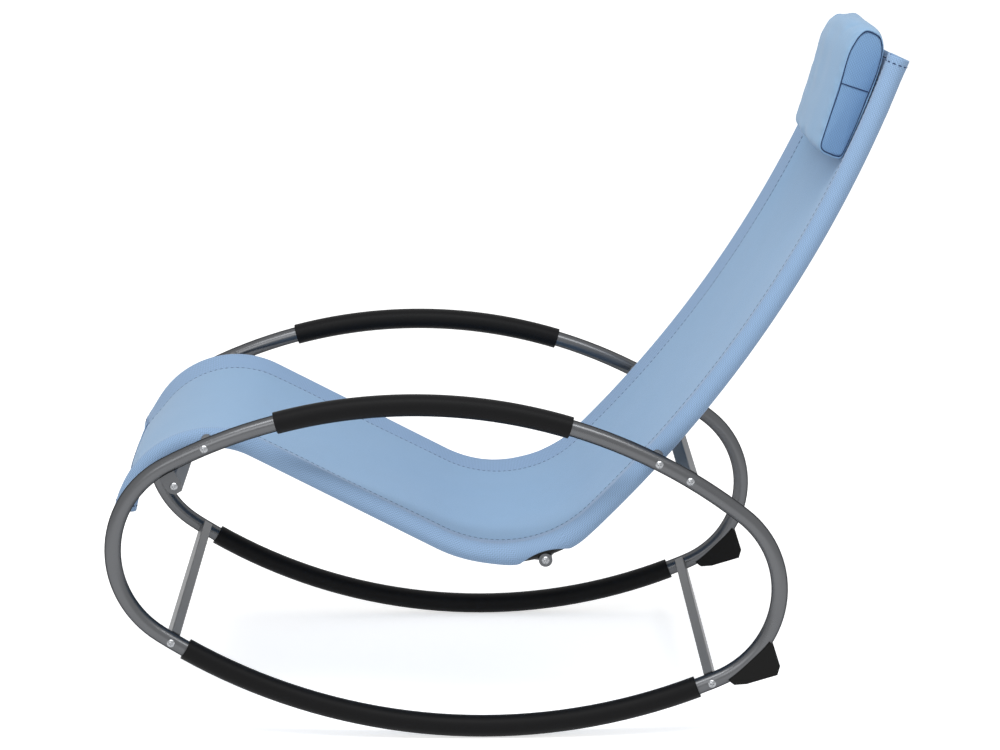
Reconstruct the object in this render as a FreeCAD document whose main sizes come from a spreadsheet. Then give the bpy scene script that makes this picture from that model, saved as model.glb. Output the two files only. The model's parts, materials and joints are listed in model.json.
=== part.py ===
"""Rocking chaise lounge: every physical piece is built as its own solid and written to parts/NODE.step.

Lengths are in millimetres. X runs to the head end, the near side is -Y (the sitter's left) and Z is up.
The rest position has the rocker sleeves on the floor at z = 0.
"""
import FreeCAD
import Part
import math
import os
import Sketcher

doc = FreeCAD.newDocument("chaise")
sheet = doc.addObject("Spreadsheet::Sheet", "Sizes")

SIZES = [
    ("contact_x", -26.6, "floor contact along the length, measured from the middle of the overall length"),
    ("hoop_spacing", 613.0, "between the two hoops' centre planes"),
    ("hoop_diameter", 25.0, "round tube of the hoops"),
    ("hoop_wall", 1.8, "wall of the hoop tube"),
    ("loop_height", 505.0, "hoop height between its bottom and top centre lines"),
    ("rocker_radius", 882.0, "bottom arc of the hoop, centre line"),
    ("arm_radius", 796.0, "top arc of the hoop, centre line"),
    ("arm_shift", 107.6, "top arc's middle lies this far to the foot end from the floor contact"),
    ("front_end_radius", 153.5, "foot end arc of the hoop, centre line"),
    ("rear_end_radius", 151.0, "head end arc of the hoop, centre line"),
    ("spigot_length", 40.0, "reduced tube end that plugs the two halves of a hoop together"),
    ("slip_gap", 0.2, "clearance of a plugged or sleeved tube, each side"),
    ("sleeve_wall", 4.0, "wall of the black sleeves on the hoops"),
    ("arm_sleeve_front", 14.9, "degrees along the top arc from its middle to the foot end"),
    ("arm_sleeve_rear", 17.2, "degrees along the top arc from its middle to the head end"),
    ("rocker_sleeve_front", 31.0, "degrees along the bottom arc from the contact to the foot end"),
    ("rocker_sleeve_rear", 21.5, "degrees along the bottom arc from the contact to the head end"),
    ("bar_width", 15.0, "crossbar section along the hoop"),
    ("bar_height", 25.0, "crossbar section across the hoop"),
    ("bar_wall", 1.5, "crossbar wall"),
    ("bar_corner", 2.2, "crossbar outer corner radius"),
    ("bar_end_gap", 6.5, "hoop's centre plane to the end of a crossbar that is coped round the tube"),
    ("plate_depth", 4.0, "threaded plate inside the end of a crossbar"),
    ("plate_inset", 5.0, "inner side of the hoop tube to the threaded plate"),
    ("lug_plate_inset", 2.0, "inner side of the lug to the threaded plate"),
    ("screw_end", 3.0, "how far a screw reaches past its thread"),
    ("front_bottom_angle", 32.6, "degrees along the bottom arc to the front bottom crossbar"),
    ("rear_bottom_angle", 23.0, "degrees along the bottom arc to the rear bottom crossbar"),
    ("rear_top_angle", 31.4, "degrees along the top arc to the rear top crossbar"),
    ("lug_angle", 119.6, "degrees around the foot end arc to the lug"),
    ("lug_drop", 34.0, "hoop centre line to the lug's screw"),
    ("lug_radius", 12.0, "rounded end and half width of the lug"),
    ("lug_thickness", 3.0, "lug plate"),
    ("seat_bolt_angle", 23.0, "degrees along the top arc to the seat rail's screw"),
    ("bolt_lean", 3.0, "degrees from the top of the knee bend to the seat rail's screw"),
    ("rail_spacing", 495.0, "between the two side rails' centre planes"),
    ("rail_diameter", 28.0, "round tube of the side rails"),
    ("rail_wall", 1.2, "wall of the side rail tube"),
    ("crest_radius", 136.6, "bend of the seat rail over the knee, centre line"),
    ("foot_turn", 79.0, "degrees of that bend in front of its top"),
    ("seat_angle", 27.6, "slope of the straight seat, degrees down to the corner"),
    ("seat_length", 317.0, "straight part of the seat rail"),
    ("corner_radius", 200.4, "bend between seat and back, centre line"),
    ("back_start_angle", 44.8, "slope of the back at its lower end, degrees"),
    ("back_radius", 1864.0, "long bend of the back rail, centre line"),
    ("back_length", 835.0, "length of the back rail's long bend"),
    ("joint_angle", 17.9, "degrees past the bend's lowest point to the rail joint"),
    ("tab_gap", 3.6, "underside of the rail to the joint screw's axis"),
    ("tab_radius", 9.5, "rounded end of the joint tabs"),
    ("tab_thickness", 3.0, "joint tab plate"),
    ("tab_flare", 22.0, "joint screw to the tip of a tab's flared root"),
    ("tab_root", 2.0, "how deep a tab's outline runs into the rail before it is trimmed to the tube"),
    ("butt_gap", 0.3, "between the two rail ends at the joint"),
    ("joint_sleeve_wall", 1.0, "wall of the black sleeve on the rail joint"),
    ("joint_sleeve_half", 12.9, "half length of that sleeve, degrees of the bend"),
    ("boss_diameter", 21.0, "saddle boss each side of the joint tabs"),
    ("boss_reach", 14.0, "outer face of a boss from the rail's centre plane"),
    ("sleeve_slot_gap", 1.8, "slot of that sleeve to the tabs, each side"),
    ("nut_width", 10.0, "hexagon nut across flats"),
    ("nut_height", 5.0, "hexagon nut"),
    ("spreader_width", 22.0, "flat tube between the rails behind each end of the sling, along it"),
    ("spreader_height", 10.0, "the same flat tube, across the sling"),
    ("spreader_corner", 3.0, "the same flat tube's outer corner radius"),
    ("spreader_wall", 1.2, "the same flat tube's wall"),
    ("spreader_offset", 11.6, "rail centre line to the flat tube's centre line"),
    ("head_spreader_inset", 80.0, "head end of the sling to its flat tube"),
    ("foot_spreader_inset", 60.0, "foot end of the sling to its flat tube"),
    ("rail_end_inset", 4.0, "sling end to rail end"),
    ("screw_diameter", 6.0, "all machine screws"),
    ("screw_head_diameter", 12.0, "pan head"),
    ("screw_head_height", 3.6, "pan head"),
    ("recess_width", 6.4, "cross recess in a pan head"),
    ("recess_blade", 1.3, "width of one slot of the cross recess"),
    ("recess_depth", 1.8, "depth of the cross recess"),
    ("screw_hole_gap", 0.3, "clearance of a screw in its hole, each side"),
    ("thread_gap", 0.1, "clearance of a screw in its thread, each side"),
    ("seat_gap", 0.1, "between a screw head, spacer or plug and what it seats on"),
    ("weld_gap", 0.05, "between a welded plate and its tube"),
    ("box_gap", 0.3, "threaded plate or plug to the inside of its tube, each side"),
    ("spacer_diameter", 18.0, "spacer between hoop and side rail"),
    ("spacer_end", 5.0, "hoop's centre plane to the outer end of the spacer that is coped round the tube"),
    ("insert_diameter", 8.6, "barrel of the threaded insert in the side rail"),
    ("insert_length", 14.0, "threaded insert"),
    ("insert_flange", 1.0, "flange of the threaded insert"),
    ("insert_flange_diameter", 13.0, "flange of the threaded insert"),
    ("insert_gap", 0.15, "insert in the rail's hole, each side"),
    ("plug_cap", 2.0, "cap of the plug in a rail's open end"),
    ("plug_core", 10.0, "plug inside the rail"),
    ("hem_gap", 1.4, "side rail to the sleeve sewn round it"),
    ("fabric_thickness", 1.4, "sling fabric"),
    ("sling_sag", 4.0, "dip of the sling halfway between the rails"),
    ("end_draw", 10.0, "how far the free ends of the sling are drawn in at the middle"),
    ("cutout_radius", 83.4, "arc of the hem's cut-out at the rail joint"),
    ("cutout_cover", 2.5, "cut-out's top below the rail centre line"),
    ("notch_gap", 1.0, "flat tube to the edge of its notch in the hem"),
    ("eyelet_gap", 0.6, "spacer to the edge of its hole in the hem"),
    ("stopper_width", 26.0, "rubber stopper across the hoop"),
    ("stopper_screw_angle", -46.0, "degrees round the head end arc to the stopper's screw"),
    ("stopper_floor", 11.0, "rubber between the hoop tube and the stopper's screw head"),
    ("pillow_width", 310.0, "headrest pillow across the sling"),
    ("pillow_back_radius", 1862.0, "pillow's rear panel, measured like back_radius"),
    ("pillow_crown", 12.5, "swell of the pillow's front panel"),
    ("pillow_rear_swell", 2.6, "swell of the pillow's rear panel"),
    ("pillow_cover", 6.0, "quilted cover round the pillow's light filling"),
    ("pillow_low", 176.0, "head end of the sling to the pillow's bottom edge, along the back"),
    ("pillow_rise", 19.0, "pillow's top beyond the head end of the sling"),
    ("pad_width", 40.0, "hook pad and loop strip"),
    ("pad_thickness", 1.4, "hook pad"),
    ("strip_thickness", 1.4, "loop strip"),
    ("strip_gap", 0.3, "loop strip to the sling"),
    ("pad_gap", 0.2, "hook pad to the loop strip"),
    ("pad_spread", 60.0, "pad centre from the middle of the sling"),
]


def fill_sheet():
    """Write every size into the sheet under its alias."""
    for row, (alias, value, note) in enumerate(SIZES, start=1):
        sheet.set("A%d" % row, note)
        sheet.set("B%d" % row, str(value))
        sheet.setAlias("B%d" % row, alias)
    doc.recompute()


def v(alias):
    """Read one size back from the sheet."""
    return float(sheet.get(alias))


def sind(angle):
    return math.sin(math.radians(angle))


def cosd(angle):
    return math.cos(math.radians(angle))


def bind(obj, prop, formula):
    """Tie a property to the sheet; size names in the formula are written in braces."""
    obj.setExpression(prop, formula.replace("{", "Sizes.").replace("}", ""))


fill_sheet()

HOOP_R = v("hoop_diameter") / 2
RAIL_R = v("rail_diameter") / 2
HOOP_Y = v("hoop_spacing") / 2
RAIL_Y = v("rail_spacing") / 2
FLOOR_TO_HOOP = HOOP_R + v("slip_gap") + v("sleeve_wall")
SIDES = (("left", -1), ("right", 1))
TAB_DROP = RAIL_R + v("tab_gap")
HEM_R = RAIL_R + v("hem_gap")
XZ_NORMAL = FreeCAD.Vector(0, -1, 0)
LATERAL = FreeCAD.Vector(0, 1, 0)


def tangent_centre(upper, upper_radius, lower, lower_radius, radius, way):
    """Centre of the small arc that runs smoothly into two larger ones, at their foot (-1) or head (1) end."""
    near = upper_radius - radius
    far = lower_radius - radius
    dx, dz = lower[0] - upper[0], lower[1] - upper[1]
    span = math.hypot(dx, dz)
    along = (near * near - far * far + span * span) / (2 * span)
    off = way * math.sqrt(near * near - along * along)
    return (upper[0] + (dx * along - dz * off) / span, upper[1] + (dz * along + dx * off) / span)


class Hoop:
    """Centres and angles of the four tangent arcs of a hoop, from the floor contact."""

    def __init__(self):
        self.rocker = (0.0, FLOOR_TO_HOOP + v("rocker_radius"))
        self.arm = (-v("arm_shift"), FLOOR_TO_HOOP + v("loop_height") - v("arm_radius"))
        sizes = (self.rocker, v("rocker_radius"), self.arm, v("arm_radius"))
        self.front = tangent_centre(*sizes, v("front_end_radius"), -1)
        self.rear = tangent_centre(*sizes, v("rear_end_radius"), 1)

    def direction(self, start, end):
        """Angle from one centre to another, in degrees."""
        return math.degrees(math.atan2(end[1] - start[1], end[0] - start[0]))

    def on_rocker(self, angle, lift=0.0):
        """Point on the bottom arc, angle counted from the contact to the head end."""
        reach = v("rocker_radius") - lift
        return (self.rocker[0] + reach * sind(angle), self.rocker[1] - reach * cosd(angle))

    def on_arm(self, angle, lift=0.0):
        """Point on the top arc, angle counted from its middle to the head end."""
        reach = v("arm_radius") + lift
        return (self.arm[0] + reach * sind(angle), self.arm[1] + reach * cosd(angle))


class Rail:
    """Centre line of the side rails and the sling: knee bend, seat, corner bend, back."""

    def __init__(self, hoop):
        self.seat_bolt = hoop.on_arm(-v("seat_bolt_angle"))
        lean = v("bolt_lean")
        self.crest = (
            self.seat_bolt[0] + v("crest_radius") * sind(lean),
            self.seat_bolt[1] - v("crest_radius") * cosd(lean),
        )
        angle = v("seat_angle")
        self.seat_start = self.on_crest(angle)
        self.seat_end = (
            self.seat_start[0] + v("seat_length") * cosd(angle),
            self.seat_start[1] - v("seat_length") * sind(angle),
        )
        self.corner = (
            self.seat_end[0] + v("corner_radius") * sind(angle),
            self.seat_end[1] + v("corner_radius") * cosd(angle),
        )
        self.back_start = self.on_corner(v("back_start_angle"))
        rise = v("back_start_angle")
        self.back = (
            self.back_start[0] - v("back_radius") * sind(rise),
            self.back_start[1] + v("back_radius") * cosd(rise),
        )
        self.back_turn = math.degrees(v("back_length") / v("back_radius"))
        self.back_bolt = self.crossing(hoop)

    def on_crest(self, angle, lift=0.0):
        """Point on the knee bend, angle counted from its top to the head end."""
        reach = v("crest_radius") + lift
        return (self.crest[0] + reach * sind(angle), self.crest[1] + reach * cosd(angle))

    def on_corner(self, angle, drop=0.0):
        """Point on the corner bend, angle counted from its lowest point to the head end."""
        reach = v("corner_radius") + drop
        return (self.corner[0] + reach * sind(angle), self.corner[1] - reach * cosd(angle))

    def on_back(self, slope, drop=0.0):
        """Point on the back's long bend where it climbs at the given slope."""
        reach = v("back_radius") + drop
        return (self.back[0] + reach * sind(slope), self.back[1] - reach * cosd(slope))

    def crossing(self, hoop):
        """Point where the back's centre line crosses the hoop's top arc."""
        low, high = v("back_start_angle"), v("back_start_angle") + self.back_turn
        for _ in range(60):
            middle = (low + high) / 2
            point = self.on_back(middle)
            outside = math.hypot(point[0] - hoop.arm[0], point[1] - hoop.arm[1]) > v("arm_radius")
            low, high = (low, middle) if outside else (middle, high)
        return self.on_back(low)


hoop = Hoop()
rail = Rail(hoop)
HEAD_SLOPE = v("back_start_angle") + rail.back_turn
HEAD_ANGLE = HEAD_SLOPE - 90.0


def new_body(name, centre=(0.0, 0.0), y_formula=None, turn=0.0):
    """PartDesign body placed from the floor contact, turned about the lateral axis."""
    body = doc.addObject("PartDesign::Body", name)
    body.Label = name
    spin = FreeCAD.Rotation(LATERAL, -turn)
    body.Placement = FreeCAD.Placement(FreeCAD.Vector(v("contact_x") + centre[0], 0, centre[1]), spin)
    bind(body, "Placement.Base.x", "{contact_x} + %.6f" % centre[0])
    if y_formula:
        bind(body, "Placement.Base.y", y_formula)
    return body


def sketch_on(body, tag, role, base=(0, 0, 0), axis=None, angle=0.0):
    """Sketch attached flat to one of the body's own origin planes."""
    sketch = body.newObject("Sketcher::SketchObject", body.Name + "_" + tag)
    plane = [item for item in body.Origin.OriginFeatures if item.Role == role][0]
    sketch.AttachmentSupport = [(plane, "")]
    sketch.MapMode = "FlatFace"
    spin = FreeCAD.Rotation(axis, angle) if axis else FreeCAD.Rotation()
    sketch.AttachmentOffset = FreeCAD.Placement(FreeCAD.Vector(*base), spin)
    return sketch


def add_circle(sketch, formula, centre=(0.0, 0.0)):
    """Circle with its radius tied to the sheet, centred on the sketch's origin or a given point."""
    spot = FreeCAD.Vector(centre[0], centre[1], 0)
    item = sketch.addGeometry(Part.Circle(spot, FreeCAD.Vector(0, 0, 1), 5.0), False)
    if centre == (0.0, 0.0):
        sketch.addConstraint(Sketcher.Constraint("Coincident", item, 3, -1, 1))
    else:
        sketch.addConstraint(Sketcher.Constraint("DistanceX", -1, 1, item, 3, centre[0]))
        sketch.addConstraint(Sketcher.Constraint("DistanceY", -1, 1, item, 3, centre[1]))
    row = sketch.addConstraint(Sketcher.Constraint("Radius", item, 5.0))
    bind(sketch, "Constraints[%d]" % row, formula)
    return item


def add_rounded_box(sketch, width, height, corner):
    """Rounded rectangle about the sketch's origin; its three sizes are formulas with their values."""
    (wide, wide_formula), (high, high_formula), (radius, radius_formula) = width, height, corner
    x, y, r = wide / 2, high / 2, radius
    corners = [(x - r, y - r, 0), (-x + r, y - r, 90), (-x + r, -y + r, 180), (x - r, -y + r, 270)]
    arcs = []
    for cx, cy, start in corners:
        circle = Part.Circle(FreeCAD.Vector(cx, cy, 0), FreeCAD.Vector(0, 0, 1), r)
        arc = Part.ArcOfCircle(circle, math.radians(start), math.radians(start + 90))
        arcs.append(sketch.addGeometry(arc, False))
    ends = [
        ((x - r, y), (-x + r, y)),
        ((-x, y - r), (-x, -y + r)),
        ((-x + r, -y), (x - r, -y)),
        ((x, -y + r), (x, y - r)),
    ]
    lines = []
    for start, end in ends:
        line = Part.LineSegment(FreeCAD.Vector(*start, 0), FreeCAD.Vector(*end, 0))
        lines.append(sketch.addGeometry(line, False))
    for index in range(4):
        sketch.addConstraint(Sketcher.Constraint("Tangent", arcs[index], 2, lines[index], 1))
        sketch.addConstraint(Sketcher.Constraint("Tangent", lines[index], 2, arcs[(index + 1) % 4], 1))
    sketch.addConstraint(Sketcher.Constraint("Horizontal", lines[0]))
    sketch.addConstraint(Sketcher.Constraint("Vertical", lines[1]))
    sketch.addConstraint(Sketcher.Constraint("Horizontal", lines[2]))
    sketch.addConstraint(Sketcher.Constraint("Vertical", lines[3]))
    for other in arcs[1:]:
        sketch.addConstraint(Sketcher.Constraint("Equal", arcs[0], other))
    sketch.addConstraint(Sketcher.Constraint("Symmetric", arcs[0], 3, arcs[2], 3, -1, 1))
    for kind, items, value, formula in (
        ("Radius", (arcs[0],), radius, radius_formula),
        ("DistanceX", (lines[1], 1, lines[3], 1), wide, wide_formula),
        ("DistanceY", (lines[2], 1, lines[0], 1), high, high_formula),
    ):
        row = sketch.addConstraint(Sketcher.Constraint(kind, *items, value))
        bind(sketch, "Constraints[%d]" % row, formula)


def add_path(sketch, segments):
    """Chain of arcs and lines; each arc gives its centre, radius, size formula and two angles."""
    items = []
    for segment in segments:
        if segment[0] == "line":
            start, end = FreeCAD.Vector(*segment[1], 0), FreeCAD.Vector(*segment[2], 0)
            items.append(sketch.addGeometry(Part.LineSegment(start, end), False))
            continue
        _, centre, radius, formula, low, high = segment
        circle = Part.Circle(FreeCAD.Vector(*centre, 0), FreeCAD.Vector(0, 0, 1), radius)
        item = sketch.addGeometry(Part.ArcOfCircle(circle, math.radians(low), math.radians(high)), False)
        row = sketch.addConstraint(Sketcher.Constraint("Radius", item, radius))
        bind(sketch, "Constraints[%d]" % row, formula)
        items.append(item)
    return items


def add_pipe(body, tag, segments, start, slope, circles):
    """Sweep circles round the path's start along the path."""
    path = sketch_on(body, tag + "_path", "XZ_Plane")
    add_path(path, segments)
    spin_axis = FreeCAD.Vector(1, 0, 0)
    profile = sketch_on(body, tag + "_profile", "YZ_Plane", (0, start[1], start[0]), spin_axis, -slope)
    for formula in circles:
        add_circle(profile, formula)
    pipe = body.newObject("PartDesign::AdditivePipe", body.Name + "_" + tag)
    pipe.Profile = profile
    pipe.Spine = (path, [])
    return pipe


def add_side_holes(body, tag, holes):
    """Bore lateral holes right through the body; each hole is a point with a radius formula."""
    sketch = sketch_on(body, tag + "_sketch", "XZ_Plane")
    for point, formula in holes:
        add_circle(sketch, formula, point)
    pocket = body.newObject("PartDesign::Pocket", body.Name + "_" + tag)
    pocket.Profile = sketch
    pocket.Type = 1
    pocket.Midplane = True
    return pocket


def primitive(kind, name, sizes, base, spin=None):
    """Part primitive with its sizes tied to the sheet; base is measured from the floor contact."""
    item = doc.addObject(kind, name)
    turn = spin or FreeCAD.Rotation()
    item.Placement = FreeCAD.Placement(FreeCAD.Vector(v("contact_x") + base[0], base[1], base[2]), turn)
    for prop, formula in sizes.items():
        bind(item, prop, formula)
    bind(item, "Placement.Base.x", "{contact_x} + %.6f" % base[0])
    return item


def along_y(side=1):
    """Rotation that lays a cylinder's axis along +Y or -Y."""
    return FreeCAD.Rotation(FreeCAD.Vector(1, 0, 0), -90 * side)


def lateral_cylinder(name, radius, point, start, end):
    """Cylinder along Y through a point of the side view, between two lateral positions."""
    side = 1 if end > start else -1
    item = primitive("Part::Cylinder", name, {"Radius": radius}, (point[0], start, point[1]), along_y(side))
    item.Height = abs(end - start)
    return item


def ring(name, centre, radius, thickness, y):
    """Torus round a lateral axis, used to shape a piece to a bent tube."""
    sizes = {"Radius1": radius, "Radius2": thickness}
    return primitive("Part::Torus", name, sizes, (centre[0], y, centre[1]), along_y())


def cut(name, base, tools):
    """Take one or more tools out of a base."""
    tool = tools[0]
    if len(tools) > 1:
        tool = doc.addObject("Part::MultiFuse", name + "_tools")
        tool.Shapes = tools
    item = doc.addObject("Part::Cut", name)
    item.Base = base
    item.Tool = tool
    return item


def fuse(name, shapes):
    """Join shapes into one solid."""
    item = doc.addObject("Part::MultiFuse", name)
    item.Shapes = shapes
    return item


def group(name, members):
    """Several separate solids under one node."""
    item = doc.addObject("Part::Compound", name)
    item.Links = members
    item.Label = name
    return item


NODES = []


def node(item, name):
    """Register a finished sub-part under the name of its file."""
    item.Label = name
    NODES.append((name, item))
    return item


HOOP_TUBE = ("{hoop_diameter} / 2", "{hoop_diameter} / 2 - {hoop_wall}")
HOLE = "{screw_diameter} / 2 + {screw_hole_gap}"
THREAD = "{screw_diameter} / 2 + {thread_gap}"


def hoop_half(name, side, front):
    """One half of a hoop; the rear half carries the two spigots that plug into the front half."""
    centre = hoop.front if front else hoop.rear
    key = "front_end_radius" if front else "rear_end_radius"
    body = new_body(name, y_formula="%d * {hoop_spacing} / 2" % side)
    low = hoop.direction(hoop.rocker, centre)
    high = hoop.direction(hoop.arm, centre)
    rocker = (hoop.rocker, v("rocker_radius"), "{rocker_radius}")
    arm = (hoop.arm, v("arm_radius"), "{arm_radius}")
    end = (centre, v(key), "{%s}" % key)
    if front:
        segments = [("arc", *rocker, low, -90), ("arc", *end, high, low + 360), ("arc", *arm, 90, high)]
    else:
        segments = [("arc", *rocker, -90, low), ("arc", *end, low, high), ("arc", *arm, high, 90)]
    bottom = (0.0, FLOOR_TO_HOOP)
    add_pipe(body, "tube", segments, bottom, 0.0, HOOP_TUBE)
    if front:
        holes = [hoop.on_arm(-v("seat_bolt_angle")), hoop.on_rocker(-v("front_bottom_angle"))]
    else:
        add_spigots(body, rocker, arm)
        holes = [rail.back_bolt, hoop.on_arm(v("rear_top_angle")), hoop.on_rocker(v("rear_bottom_angle"))]
    add_side_holes(body, "holes", [(point, HOLE) for point in holes])
    return node(body, name)


def add_spigots(body, rocker, arm):
    """Swaged ends: a neck inside the tube's own end and a spigot that reaches into the other half."""
    inner = "{hoop_diameter} / 2 - 2 * {hoop_wall} - {slip_gap}"
    spigot = ("{hoop_diameter} / 2 - {hoop_wall} - {slip_gap}", inner)
    neck = ("{hoop_diameter} / 2 - {hoop_wall} / 2", inner)
    top = (hoop.arm[0], hoop.arm[1] + v("arm_radius"))
    for tag, arc, start, base, radius in (
        ("low", rocker, (0.0, FLOOR_TO_HOOP), -90, v("rocker_radius")),
        ("top", arm, top, 90, v("arm_radius")),
    ):
        reach = math.degrees(v("spigot_length") / radius)
        grip = reach / 4
        inward = 1 if base < 0 else -1
        ahead = sorted((base, base - inward * reach))
        behind = sorted((base, base + inward * grip))
        add_pipe(body, tag + "_neck", [("arc", *arc, *behind)], start, 0.0, neck)
        add_pipe(body, tag + "_spigot", [("arc", *arc, *ahead)], start, 0.0, spigot)


def bent_sleeve(name, centre, radius_formula, middle, sweep, outer, inner, y_formula):
    """Hollow sleeve along an arc: an annulus turned about the arc's own centre."""
    body = new_body(name, centre, y_formula, middle)
    sketch = sketch_on(body, "ring", "YZ_Plane")
    bind(sketch, "AttachmentOffset.Base.y", radius_formula)
    add_circle(sketch, outer)
    add_circle(sketch, inner)
    turn = body.newObject("PartDesign::Revolution", name + "_turn")
    turn.Profile = sketch
    axis = [item for item in body.Origin.OriginFeatures if item.Role == "Y_Axis"][0]
    turn.ReferenceAxis = (axis, [""])
    turn.Midplane = True
    turn.Angle = sweep
    return body


def hoop_sleeves(word, side):
    """Black sleeves on the arm rest and on the rocker of one hoop."""
    outer = "{hoop_diameter} / 2 + {slip_gap} + {sleeve_wall}"
    inner = "{hoop_diameter} / 2 + {slip_gap}"
    y_formula = "%d * {hoop_spacing} / 2" % side
    arcs = (("arm", hoop.arm, "{arm_radius}"), ("rocker", hoop.rocker, "-{rocker_radius}"))
    for kind, centre, formula in arcs:
        front, rear = v(kind + "_sleeve_front"), v(kind + "_sleeve_rear")
        middle = (front - rear) / 2 * (1 if kind == "arm" else -1)
        name = "%s_sleeve_%s" % (kind, word)
        node(bent_sleeve(name, centre, formula, middle, front + rear, outer, inner, y_formula), name)


def extrude_outline(body, tag, points, formula):
    """Pad a closed outline of the side view to both sides."""
    sketch = sketch_on(body, tag + "_outline", "XZ_Plane")
    count = len(points)
    for index in range(count):
        start, end = points[index], points[(index + 1) % count]
        sketch.addGeometry(Part.LineSegment(FreeCAD.Vector(*start, 0), FreeCAD.Vector(*end, 0)), False)
    for index in range(count):
        sketch.addConstraint(Sketcher.Constraint("Coincident", index, 2, (index + 1) % count, 1))
    pad = body.newObject("PartDesign::Pad", body.Name + "_" + tag)
    pad.Profile = sketch
    pad.Midplane = True
    bind(pad, "Length", formula)
    return pad


def polar(centre, radius, angle):
    """Point at a distance and an angle from a centre."""
    return (centre[0] + radius * cosd(angle), centre[1] + radius * sind(angle))


STOPPER_OUTLINE = [
    (-6.0, -61.5),
    (4.0, -60.0),
    (13.0, -54.5),
    (34.0, -41.0),
    (28.0, -37.0),
    (1.0, -30.0),
    (-6.0, -29.5),
]
STOPPER_DEPTH = 60.0


def stopper(name, side):
    """Rubber wedge under the hoop's head end, hollowed to sit on the tube."""
    y_formula = "%d * {hoop_spacing} / 2" % side
    body = new_body(name + "_block", y_formula=y_formula)
    surface = v("rear_end_radius") + HOOP_R
    points = [polar(hoop.rear, surface + lift, angle) for lift, angle in STOPPER_OUTLINE]
    extrude_outline(body, "block", points, "{stopper_width}")
    y = side * HOOP_Y
    saddle = ring(name + "_saddle", hoop.rear, "{rear_end_radius}", "{hoop_diameter} / 2 + {slip_gap}", y)
    hole = screw_channel(name, v("stopper_screw_angle"), y)
    return node(cut(name, body, [saddle] + hole), name)


def screw_channel(name, angle, y):
    """Hole for the stopper's screw and the sunk seat of its head."""
    items = []
    axis = v("rear_end_radius")
    seat = axis + HOOP_R + v("stopper_floor")
    for tag, radius, low, high in (
        ("bore", HOLE, axis, axis + STOPPER_DEPTH),
        ("sink", "{screw_head_diameter} / 2 + {screw_hole_gap}", seat, axis + STOPPER_DEPTH),
    ):
        spot = polar(hoop.rear, low, angle)
        spin = FreeCAD.Rotation(FreeCAD.Vector(0, 0, 1), FreeCAD.Vector(cosd(angle), 0, sind(angle)))
        item = primitive("Part::Cylinder", name + "_" + tag, {"Radius": radius}, (spot[0], y, spot[1]), spin)
        item.Height = high - low
        items.append(item)
    return items


HEAD_RIM = 1.2


def pan_screw(name, point, y, direction, length):
    """Pan head screw with a cross recess; its head sits on the point and its shank runs on from there."""
    spin = FreeCAD.Rotation(FreeCAD.Vector(0, 0, -1), FreeCAD.Vector(*direction))
    head_r, head_h = v("screw_head_diameter") / 2, v("screw_head_height")
    dome_r = (head_r * head_r + head_h * head_h) / (2 * head_h) + HEAD_RIM
    shank = doc.addObject("Part::Cylinder", name + "_shank")
    bind(shank, "Radius", "{screw_diameter} / 2")
    shank.Height = length
    shank.Placement.Base = FreeCAD.Vector(0, 0, -length)
    disc = doc.addObject("Part::Cylinder", name + "_disc")
    bind(disc, "Radius", "{screw_head_diameter} / 2")
    bind(disc, "Height", "{screw_head_height}")
    ball = doc.addObject("Part::Sphere", name + "_ball")
    ball.Radius = dome_r
    ball.Placement.Base = FreeCAD.Vector(0, 0, head_h - dome_r)
    head = doc.addObject("Part::Common", name + "_head")
    head.Base = disc
    head.Tool = ball
    blades = []
    for tag, long_side, short_side in (("a", "Length", "Width"), ("b", "Width", "Length")):
        blade = doc.addObject("Part::Box", name + "_blade_" + tag)
        bind(blade, long_side, "{recess_width}")
        bind(blade, short_side, "{recess_blade}")
        bind(blade, "Height", "{screw_head_height}")
        bind(blade, "Placement.Base.%s" % ("x" if tag == "a" else "y"), "-{recess_width} / 2")
        bind(blade, "Placement.Base.%s" % ("y" if tag == "a" else "x"), "-{recess_blade} / 2")
        bind(blade, "Placement.Base.z", "{screw_head_height} - {recess_depth}")
        blades.append(blade)
    item = cut(name, fuse(name + "_solid", [shank, head]), blades)
    item.Placement = FreeCAD.Placement(FreeCAD.Vector(v("contact_x") + point[0], y, point[1]), spin)
    bind(item, "Placement.Base.x", "{contact_x} + %.6f" % point[0])
    return item


def lateral_screws(name, points, seat_y, length):
    """Screws driven inwards from both sides at each point."""
    members = []
    for number, point in enumerate(points):
        for word, side in SIDES:
            tag = "%s_%s_%d" % (name, word, number)
            members.append(pan_screw(tag, point, side * seat_y, (0, -side, 0), length))
    return node(group(name, members), name)


def crossbar(name, point, turn, length, coped):
    """Rectangular tube between the hoops, its section turned with the hoop."""
    body = new_body(name, point, turn=turn)
    sketch = sketch_on(body, "section", "XZ_Plane")
    width, height, corner = v("bar_width"), v("bar_height"), v("bar_corner")
    wall = v("bar_wall")
    add_rounded_box(sketch, (width, "{bar_width}"), (height, "{bar_height}"), (corner, "{bar_corner}"))
    add_rounded_box(
        sketch,
        (width - 2 * wall, "{bar_width} - 2 * {bar_wall}"),
        (height - 2 * wall, "{bar_height} - 2 * {bar_wall}"),
        (corner - wall, "{bar_corner} - {bar_wall}"),
    )
    pad = body.newObject("PartDesign::Pad", name + "_pad")
    pad.Profile = sketch
    pad.Midplane = True
    bind(pad, "Length", length)
    if coped:
        cope = sketch_on(body, "cope", "YZ_Plane")
        for side in (-1, 1):
            add_circle(cope, "{hoop_diameter} / 2 + {slip_gap}", (side * HOOP_Y, 0.0))
        pocket = body.newObject("PartDesign::Pocket", name + "_copes")
        pocket.Profile = cope
        pocket.Midplane = True
        pocket.Type = 1
    return node(body, name)


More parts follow.
